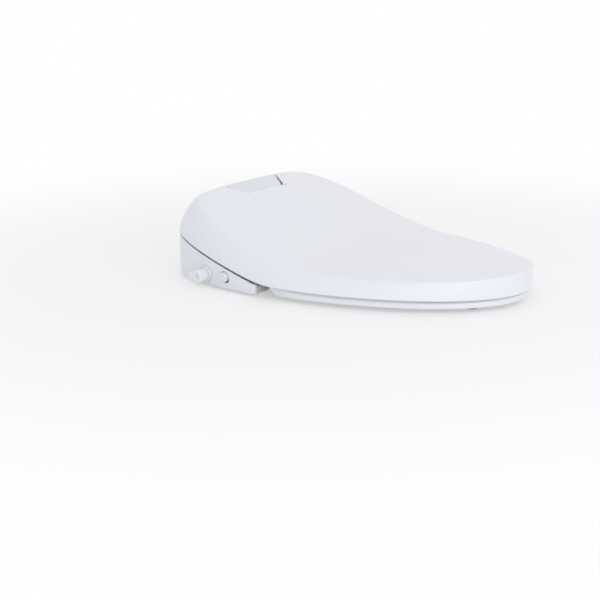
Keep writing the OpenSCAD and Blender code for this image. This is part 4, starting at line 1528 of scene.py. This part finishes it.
@dataclass
class Casing:
    """Lower shell of the unit, whose two side arms run forward under the lid's seam."""

    form: Form
    paint: Paint
    seat: Seat
    step: float = 2.5
    low: float = 4.0
    front_s: float = 148.0
    bay_half: float = 55.0
    tip_back: float = 17.0
    toe_y: float = 154.0
    toe_corner: float = 8.0
    toe_hollow: float = 18.0
    deck_drop: float = 6.0
    seat_clear: float = 3.0
    tip_turn: float = 84.0
    inner_until: float = -72.0
    foot_round: float = 2.4
    edge_round: float = 0.9
    rim_drop: float = 0.8
    channel_half: float = 97.5
    channel_top: float = 13.5
    hole_y: float = 150.0
    notch_r: float = 6.2
    notch_out: tuple[float, float] = (3.3, -2.2)
    slot_gap: float = 0.9
    cord_r: float = 7.2

    def arm_end(self) -> ArmEnd:
        """Place of the arm's rounded tip.

        Returns:
            The end that both arms share.
        """
        form, seat = self.form, self.seat
        station = form.wide_s - self.tip_back
        back = form.wide_s - station
        outer = -math.degrees(math.asin(back / form.wide_s))
        inner = -math.degrees(math.asin(back / (form.wide_s - seat.rear_s + self.seat_clear)))
        out = form.egg(np.array([outer]), form.length, 0, form.half - 1)[0, 1]
        inside = seat.outer_egg(np.array([inner]), self.seat_clear)[0, 1]
        return ArmEnd(station, outer, inner, float(out), float(inside))

    def toe(self, side: int) -> bpy.types.Object:
        """Broad front end of an arm, which runs in under the seat's raised rear corner.

        Args:
            side: 1 for the left arm and -1 for the right.

        Returns:
            The closed solid.
        """
        end = self.arm_end()
        middle = (end.outer + end.inner) / 2
        front = end.s + (end.outer - end.inner) / 2 - 0.3
        back = self.front_s - 1.5
        small, wide = self.toe_corner, self.toe_hollow
        corner = arc(front - small, self.toe_y + small, small, 0, -90, 9)
        fillet = arc(back + wide, self.toe_y - wide, wide, 90, 180, 9)
        plan = np.vstack([[[front, middle]], corner, fillet, [[back, middle]]])
        rows = []
        for inset, lift, upper in ((1.6, 0.2, False), (0.4, 0.6, False), (0, 1.8, False),
                                   (0, -1.6, True), (0.5, -0.45, True), (1.6, 0, True)):
            outline = inset_outline(plan, inset)
            top = self.form.seam(outline[:, 0]) - self.deck_drop + 0.4
            z = np.broadcast_to((top if upper else self.low) + lift, len(outline))
            rows.append(np.column_stack([outline[:, 0], side * outline[:, 1], z]))
        return stacked("toe", self.form.at(rows))

    def side(self, inset: float) -> np.ndarray:
        """Half outline of the casing, from the rear middle round the arm to the front wall.

        Args:
            inset: Distance inside the outer wall.

        Returns:
            Points as stations and sides, as many for every inset.
        """
        form, end = self.form, self.arm_end()

        def flank(turn: np.ndarray, grow: float) -> np.ndarray:
            """Outer wall of the casing."""
            return form.egg(turn, form.length, grow, form.half - 1 - grow)

        fine = fine_turns(-90, end.outer_turn)
        turns = even_turns(flank(fine, 0), fine, self.step)
        radius = (end.outer - end.inner) / 2 - inset
        tip = arc(end.s, (end.outer + end.inner) / 2, radius, self.tip_turn, -self.tip_turn, 22)
        back = np.linspace(end.inner_turn, self.inner_until, 24)
        inner = self.seat.outer_egg(back, self.seat_clear + inset)
        front = np.array([[self.front_s - inset, self.bay_half + 3], [self.front_s - inset, 0]])
        return np.vstack([flank(turns, inset), tip, inner, front])

    def loop(self, inset: float, height: float | None = None, below_rim: float = 0.0) -> np.ndarray:
        """Closed loop of the casing at a level height, or below its sloping rim.

        Args:
            inset: Distance inside the outer wall.
            height: Level height, or None to follow the rim.
            below_rim: Distance under the rim.

        Returns:
            Points by station.
        """
        side = self.side(inset)
        if height is None:
            z = self.form.seam(side[:, 0]) - self.form.cover_gap - self.rim_drop - below_rim
        else:
            z = np.full(len(side), height)
        return mirrored(np.column_stack([side, z]))

    def build(self) -> bpy.types.Object:
        """Builds the shell with rounded edges, then cuts its openings.

        Returns:
            The shell with its two toes, shaded smooth.
        """
        loops = []
        for a in np.radians(np.linspace(0, 90, 6)):
            lift = self.foot_round * (1 - math.cos(a))
            loops.append(self.loop(self.foot_round * (1 - math.sin(a)), self.low + lift))
        for a in np.radians(np.linspace(0, 90, 5)):
            drop = self.edge_round * (1 - math.sin(a))
            loops.append(self.loop(self.edge_round * (1 - math.cos(a)), None, drop))
        wall = self.form.wall
        loops += [self.loop(wall - 0.4), self.loop(wall, None, 0.4), self.loop(wall, self.low + wall)]
        piece = stacked("casing_shell", self.form.at(loops))
        carve(piece, self.cutters())
        tidy(piece)
        piece = join("casing_shell", [piece, self.toe(1), self.toe(-1)])
        soften(piece)
        return piece

    def cutters(self) -> list[bpy.types.Object]:
        """Solids of the channel's place, the front opening and the holes for the fittings.

        Returns:
            The solids, in the order in which they cut.
        """
        form, wall, channel = self.form, self.form.wall, self.channel_half
        back, front = self.front_s - wall, self.front_s + 1
        edge = form.half + 5
        made = [
            block("channel", form.at((-3, -channel, 0)), form.at((back, channel, self.channel_top))),
            block("front", form.at((back - 1, wall - self.bay_half, self.channel_top)),
                  form.at((front, self.bay_half - wall, 60))),
            block("slot", form.at((back - 1, -6, 10)), form.at((front, 6, 60))),
        ]
        holes = (("drain_valve", 0.3, -1), ("release_button", 0.9, -1), ("water_inlet", 0.3, 1))
        for node, clear, side in holes:
            barrel = Barrel.of(node)
            low, high = sorted((side * self.hole_y, side * edge))
            made.append(cylinder("side_hole", barrel.radius + clear, low, high, barrel.centre, 1, 64))
        x, _, z = Barrel.of("release_button").centre
        notch = (x + self.notch_out[0], 0, z + self.notch_out[1])
        made.append(cylinder("thumb_notch", self.notch_r, -edge, -self.hole_y, notch, 1, 64))
        gap = self.slot_gap
        low, high = node_box("deodorizer_cartridge")
        made.append(block("filter_slot", (low.x - gap, self.hole_y, low.z - gap),
                          (high.x + gap, edge, high.z + gap)))
        low, high = node_box("power_gland")
        cord = (0, (low.y + high.y) / 2, (low.z + high.z) / 2)
        made.append(cylinder("cord_hole", self.cord_r, form.rear_x - 3, form.rear_x + 8, cord, 0, 48))
        return made

    def dress(self) -> bpy.types.Object:
        """Builds the shell and puts it in the model.

        Returns:
            The piece.
        """
        piece = self.paint.coat(self.build(), Finish.cover_white)
        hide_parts("lower_casing")
        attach(piece, "main_unit")
        return piece


# ---- Controls on the right side --------------------------------------------------------------


@dataclass
class DrainKnob:
    """Knob that opens the drain, on a collar that stands out of the casing."""

    paint: Paint
    fillet: float = 1.4
    ribs: int = 24
    cross: tuple[float, float, float] = (9.0, 1.8, 2.2)
    head: float = 16.7
    shaft_r: float = 4.0
    bore_r: float = 4.06
    collar_depth: float = 15.0
    valve_r: float = 8.0
    wing_reach: float = 14.0
    wing_r: float = 5.6

    def build(self) -> bpy.types.Object:
        """Builds the knob with a dished end, a cross slot and grip ribs.

        Returns:
            The knob, shaded smooth.
        """
        knob = Barrel.of("drain_knob")
        radius, end = knob.radius, knob.low
        x, _, z = knob.centre
        back = end + self.head
        profile = [(0.0, end + 0.5), (radius * 0.62, end + 0.5), (radius * 0.7, end + 0.12),
                   *rounded_end(radius, end, self.fillet), (radius, back - 0.8), (radius - 0.8, back),
                   (self.shaft_r, back), (self.shaft_r, knob.high), (0.0, knob.high)]
        barrel = turned("knob", profile, knob.centre)
        length, width, depth = self.cross
        for across, upright in ((length, width), (width, length)):
            carve(barrel, [block("cross", (x - across / 2, end - 2, z - upright / 2),
                                 (x + across / 2, end + depth, z + upright / 2))])
        wing = self.wing(knob.centre, end)
        self.paint.coat(barrel, Finish.cover_white)
        self.paint.coat(wing, Finish.cover_white)
        rib = turned("rib", [(0.0, 2.6), (0.3, 2.8), (0.42, 3.4), (0.42, 12.6), (0.3, 13.2), (0.0, 13.4)],
                     (0, 0, 0), 2, 8)
        place = Matrix.Translation(Vector(knob.centre) * MM + Vector((0, end * MM, 0)))
        turn = place @ Matrix.Rotation(math.radians(-90), 4, "X")
        tree = CopyTree(Layout.RING, self.ribs, radius - 0.12)
        ribs = tree.spread("grip", rib, self.paint.of(Finish.cover_white), turn)
        piece = join("drain_knob_body", [barrel, wing, ribs])
        tidy(piece)
        soften(piece)
        return piece

    def wing(self, centre: Point, end: float) -> bpy.types.Object:
        """Grip that stands out from the knob towards the rear.

        Args:
            centre: Point on the knob's axis.
            end: Place of the knob's outer end.

        Returns:
            The grip, with rounded edges.
        """
        x, _, z = centre
        nose = arc(x - self.wing_reach, z - 1.5, self.wing_r, 90, 270, 17)
        plan = np.vstack([nose, [[x - 4, z - 7.4], [x - 4, z + 6.4]]])
        return bevelled(prism("wing", plan, end + 2.2, end + 11.5, 1), 1.6, 4)

    def collar(self) -> bpy.types.Object:
        """Builds the collar and the valve's body behind it.

        Returns:
            Both as one piece, shaded smooth.
        """
        valve, bore = Barrel.of("drain_valve"), self.bore_r
        back = valve.low + self.collar_depth
        profile = [(bore, valve.low), *rounded_end(valve.radius, valve.low, 1.1), (valve.radius, back),
                   (self.valve_r, back), (self.valve_r, -150.0), (5.0, -150.0), (5.0, valve.high),
                   (0.0, valve.high), (0.0, -163.0), (bore, -163.0), (bore, valve.low)]
        piece = turned("drain_collar", profile, valve.centre)
        soften(piece)
        return piece

    def dress(self) -> list[bpy.types.Object]:
        """Builds the knob and its collar and puts them in the model.

        Returns:
            Both pieces.
        """
        knob = self.build()
        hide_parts("drain_knob")
        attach(knob, "drain_knob")
        collar = self.paint.coat(self.collar(), Finish.base_white)
        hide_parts("drain_valve")
        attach(collar, "main_unit")
        return [knob, collar]


@dataclass
class ReleaseButton:
    """Round button that frees the unit from its base plate, with a pink insert."""

    paint: Paint
    fillet: float = 1.6
    cap_depth: float = 15.0
    stem_r: float = 3.0
    insert_r: float = 3.95

    def dress(self) -> list[bpy.types.Object]:
        """Builds the button and its insert and puts them in the model.

        Returns:
            Both pieces.
        """
        button = Barrel.of("release_button")
        radius, face, stem = button.radius, button.low, self.stem_r
        profile = [(0.0, face + 1.0), (4.0, face + 1.0), (4.15, face + 0.2),
                   *rounded_end(radius, face, self.fillet), (radius, face + self.cap_depth),
                   (stem, face + self.cap_depth), (stem, button.high), (0.0, button.high)]
        cap = self.paint.coat(turned("button_cap", profile, button.centre), Finish.button_white)
        soften(cap)
        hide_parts("release_button")
        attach(cap, "release")
        disc, edge = Barrel.of("button_insert"), self.insert_r
        profile = [(0.0, disc.low), (2.6, disc.low + 0.06), (3.6, disc.low + 0.2), (edge, disc.low + 0.4),
                   (edge, disc.high), (0.0, disc.high)]
        insert = self.paint.coat(turned("button_face", profile, button.centre), Finish.button_pink)
        soften(insert)
        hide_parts("button_insert")
        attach(insert, "release")
        return [cap, insert]


# ---- Small fittings --------------------------------------------------------------------------


@dataclass(frozen=True)
class RoundSolid:
    """Place and size of one upright round solid in a node."""

    x: float
    y: float
    low: float
    high: float
    radius: float


@dataclass
class Fittings:
    """Repeated small pieces: screws, bumpers and the thread of the water inlet."""

    paint: Paint
    thread_pitch: float = 1.8
    thread_run: float = 12.0
    thread_r: float = 10.3
    pad_round: float = 1.4
    sharp_angle: float = 50.0
    recess: tuple[float, float] = (1.9, 0.42)

    @staticmethod
    def solids(node: str) -> list[RoundSolid]:
        """Separate round solids in a node.

        Args:
            node: Name of the node.

        Returns:
            Their places and sizes in millimetres.
        """
        work = bmesh.new()
        work.from_mesh(frame["nodes"][node].data)
        bmesh.ops.remove_doubles(work, verts=work.verts, dist=1e-6)
        left = set(work.verts)
        found = []
        while left:
            island, queue = set(), [next(iter(left))]
            while queue:
                vert = queue.pop()
                if vert not in island:
                    island.add(vert)
                    queue += [edge.other_vert(vert) for edge in vert.link_edges]
            left -= island
            points = np.array([v.co for v in island]) / MM
            low, high = points.min(0), points.max(0)
            found.append(RoundSolid((low[0] + high[0]) / 2, (low[1] + high[1]) / 2, low[2], high[2],
                                    (high[0] - low[0]) / 2))
        work.free()
        return sorted(found, key=lambda solid: (solid.x, solid.y))

    def screws(self) -> bpy.types.Object:
        """Heads of the casing's screws, each with a cross recess.

        Returns:
            All heads as one piece.
        """
        heads = self.solids("casing_screws")
        radius = heads[0].radius
        profile = [(0.0, 0.0), (radius - 0.5, 0.0), (radius - 0.1, 0.25), (radius, 0.6), (radius, 1.4),
                   (1.5, 1.4), (1.5, 6.9), (0.0, 6.9)]
        head = turned("head", profile, (0, 0, 0), 2, 32)
        for across, upright in (self.recess, self.recess[::-1]):
            carve(head, [block("recess", (-across, -upright, -1), (across, upright, 0.8))])
        tree = CopyTree(Layout.PLACES, places=tuple((h.x, h.y, h.low) for h in heads))
        piece = tree.spread("screw_heads", head, self.paint.of(Finish.steel))
        soften(piece)
        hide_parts("casing_screws")
        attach(piece, "main_unit")
        return piece

    def bumpers(self, node: str, body: str, name: str) -> bpy.types.Object:
        """Rounded elastomer bumpers in place of a node's plain ones.

        Args:
            node: Node that they replace.
            body: Body that they ride on.
            name: Name of the piece.

        Returns:
            The piece.
        """
        made = []
        for foot in self.solids(node):
            rise, wall = self.pad_round, foot.radius - self.pad_round
            turns = np.linspace(0, math.pi / 2, 6)
            edge = [(wall + rise * math.sin(a), foot.low + rise * (1 - math.cos(a))) for a in turns]
            profile = [(0.0, foot.low), *edge, (foot.radius, foot.high), (0.0, foot.high)]
            made.append(turned("bumper", profile, (foot.x, foot.y, 0), 2, 48))
        piece = self.paint.coat(join(name, made), Finish.rubber_grey)
        soften(piece)
        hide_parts(node)
        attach(piece, body)
        return piece

    def thread(self) -> bpy.types.Object:
        """Crests of the thread on the water inlet's stub.

        Returns:
            All crests as one piece.
        """
        stub = Barrel.of("water_inlet")
        root, top = self.thread_r - 1.0, self.thread_r + 0.12
        profile = [(root, -0.75), (top, -0.12), (top, 0.12), (root, 0.75), (root, -0.75)]
        crest = turned("crest", profile, (0, 0, 0), 1, 64)
        place = (stub.centre[0], stub.high - self.thread_run - 1, stub.centre[2])
        tree = CopyTree(Layout.ROW, int(self.thread_run / self.thread_pitch), pitch=(0, self.thread_pitch, 0))
        piece = tree.spread("inlet_thread", crest, self.paint.of(Finish.plated_brass),
                            Matrix.Translation(Vector(place) * MM))
        tidy(piece)
        soften(piece, self.sharp_angle)
        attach(piece, "main_unit")
        return piece


# ---- Nodes that keep their shape -----------------------------------------------------------


@dataclass
class KeptNodes:
    """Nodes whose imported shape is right, which only get a finish."""

    paint: Paint

    def dress(self) -> int:
        """Paints every node by the record's slot.

        Returns:
            Number of nodes painted.
        """
        slots = {part["node"]: part["material_slot"] for part in frame["record"]["subparts"]}
        for node, piece in frame["nodes"].items():
            material = self.paint.of(Finish[slots[node]])
            if not piece.material_slots:
                piece.data.materials.append(material)
            for place in piece.material_slots:
                place.material = material
        return len(frame["nodes"])


# ---- Studio --------------------------------------------------------------------------------


@dataclass(frozen=True)
class Lamp:
    """Soft square lamp, by its angles, its distance and side in metres, and its power in watts."""

    name: str
    azimuth: float
    elevation: float
    distance: float
    size: float
    power: float
    colour: Colour


@dataclass
class Studio:
    """Pale floor, soft light and the camera."""

    azimuth: float = 36.89
    elevation: float = 15.47
    distance: float = 2312.67
    aim: Point = (60.3, 0.0, -56.73)
    lens: float = 88.5
    sensor: float = 36.0
    world_strength: float = 0.77
    world_tint: Colour = (0.975, 0.98, 1.0)
    floor_tone: float = 0.95
    floor_glow: float = 0.46
    floor_r: float = 6000.0
    floor_fade: tuple[float, float] = (0.35, 1.1)
    lamps: tuple[Lamp, ...] = (
        Lamp("key", 60, 27, 2.6, 2.4, 18.5, (1.0, 0.99, 1.0)),
        Lamp("fill", 170, 35, 3.0, 2.2, 3, (0.96, 0.97, 1.0)),
    )

    def facing(self, name: str, data: bpy.types.ID, azimuth: float, elevation: float, distance: float
               ) -> bpy.types.Object:
        """Camera or lamp that looks at the aim point.

        Args:
            name: Name of the object.
            data: Its camera or lamp.
            azimuth: Azimuth at which it stands, in degrees.
            elevation: Its elevation.
            distance: Its distance in metres.

        Returns:
            The object.
        """
        a, e = math.radians(azimuth), math.radians(elevation)
        back = Vector((math.sin(a) * math.cos(e), -math.cos(a) * math.cos(e), math.sin(e)))
        eye = linked(name, data)
        eye.location = Vector(self.aim) * MM + back * distance
        eye.rotation_euler = (-back).to_track_quat("-Z", "Y").to_euler()
        return eye

    def camera(self) -> None:
        """Puts up the camera."""
        data = bpy.data.cameras.new("camera")
        data.lens = self.lens
        data.sensor_width = self.sensor
        data.clip_start = 0.05
        data.clip_end = 50
        place = (self.azimuth, self.elevation, self.distance * MM)
        bpy.context.scene.camera = self.facing("camera", data, *place)

    def lamp(self, lamp: Lamp) -> None:
        """Puts up a lamp.

        Args:
            lamp: Its place, size and light.
        """
        data = bpy.data.lights.new(lamp.name, "AREA")
        data.size = lamp.size
        data.energy = lamp.power
        data.color = lamp.colour
        self.facing(lamp.name, data, lamp.azimuth, lamp.elevation, lamp.distance)

    @staticmethod
    def looked_at(nodes: bpy.types.Nodes, links: bpy.types.NodeLinks) -> bpy.types.NodeSocket:
        """Factor of 1 for what the camera sees straight on, in a mirror or through glass.

        Args:
            nodes: Nodes of the material or the world.
            links: Its links.

        Returns:
            The factor socket.
        """
        path = nodes.new("ShaderNodeLightPath")
        total = path.outputs["Is Camera Ray"]
        for ray in ("Is Glossy Ray", "Is Transmission Ray"):
            either = add_node(nodes, "ShaderNodeMath", operation="MAXIMUM")
            links.new(total, either.inputs[0])
            links.new(path.outputs[ray], either.inputs[1])
            total = either.outputs[0]
        return total

    def world(self) -> None:
        """Even surrounding light, seen as plain white behind the object."""
        world = bpy.data.worlds.new("studio")
        bpy.context.scene.world = world
        world.use_nodes = True
        nodes, links = world.node_tree.nodes, world.node_tree.links
        nodes.clear()
        seen = add_node(nodes, "ShaderNodeBackground", {"Color": (1, 1, 1, 1), "Strength": 1.0})
        light = add_node(nodes, "ShaderNodeBackground",
                         {"Color": (*self.world_tint, 1), "Strength": self.world_strength})
        either = nodes.new("ShaderNodeMixShader")
        out = nodes.new("ShaderNodeOutputWorld")
        links.new(self.looked_at(nodes, links), either.inputs["Fac"])
        links.new(light.outputs[0], either.inputs[1])
        links.new(seen.outputs[0], either.inputs[2])
        links.new(either.outputs[0], out.inputs["Surface"])

    def floor(self) -> bpy.types.Object:
        """Round pale floor that keeps the shadow near the object and fades to white.

        Returns:
            The floor.
        """
        sides = 96
        angles = np.linspace(0, 2 * math.pi, sides, endpoint=False)
        height = (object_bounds()[0] / MM).z - 0.3
        ring = np.column_stack([self.aim[0] + self.floor_r * np.cos(angles), self.floor_r * np.sin(angles),
                                np.full(sides, height)])
        piece = new_object("floor", ring, [list(range(sides))])
        bench = NodeBench("floor_white")
        nodes, links = bench.nodes, bench.links
        tones = [(self.floor_tone - darker,) * 3 for darker in (0, 0.01)]
        bench.feed("Base Color", bench.blended(bench.noise(3.0, 2.0), *tones))
        bench.set("Roughness", 0.6)
        bench.set("Specular IOR Level", 0.2)
        shift = {"Location": (-(self.aim[0] + 100) * MM, 0, 0)}
        centred = bench.run("ShaderNodeMapping", bench.place, "Vector", "Vector", shift)
        far = bench.run("ShaderNodeVectorMath", centred, 0, "Value", operation="LENGTH")
        near, end = self.floor_fade
        values = {"From Min": near, "From Max": end, "To Min": self.floor_glow}
        fade = bench.run("ShaderNodeMapRange", far, "Value", "Result", values,
                         interpolation_type="SMOOTHSTEP")
        both = add_node(nodes, "ShaderNodeMath", operation="MULTIPLY")
        links.new(fade, both.inputs[0])
        links.new(self.looked_at(nodes, links), both.inputs[1])
        glow = nodes.new("ShaderNodeEmission")
        either = nodes.new("ShaderNodeMixShader")
        out = next(n for n in nodes if n.type == "OUTPUT_MATERIAL")
        links.new(both.outputs[0], either.inputs["Fac"])
        links.new(bench.shader.outputs[0], either.inputs[1])
        links.new(glow.outputs[0], either.inputs[2])
        links.new(either.outputs[0], out.inputs["Surface"])
        piece.data.materials.append(bench.material)
        piece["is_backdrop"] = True
        return piece

    def build(self) -> None:
        """Sets up the floor, the lamps, the world and the camera."""
        self.camera()
        self.world()
        self.floor()
        for lamp in self.lamps:
            self.lamp(lamp)
        bpy.context.scene.view_settings.view_transform = "Standard"


# ---- Main ----------------------------------------------------------------------------------


def main() -> None:
    """Builds every sub-assembly in order and reports each piece."""
    logging.basicConfig(level=logging.INFO, format="%(name)s: %(message)s")
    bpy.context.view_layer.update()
    Studio().build()
    paint = Paint()
    log.info("%d nodes painted", KeptNodes(paint).dress())
    form = Form()
    seat = Seat(form, paint)
    small = Fittings(paint)
    pieces = [Lid(form, paint).dress(), Panel(form, paint).dress(), *seat.dress()]
    pieces += [Casing(form, paint, seat).dress(), *DrainKnob(paint).dress(), *ReleaseButton(paint).dress()]
    pieces += [small.screws(), small.thread(),
               small.bumpers("seat_bumpers", "seat", "seat_feet"),
               small.bumpers("lid_bumpers", "lid", "lid_pads"),
               small.bumpers("unit_feet", "main_unit", "unit_pads")]
    for piece in pieces:
        log.info("%s: %d faces", piece.name, len(piece.data.polygons))


if __name__ == "__main__":
    main()
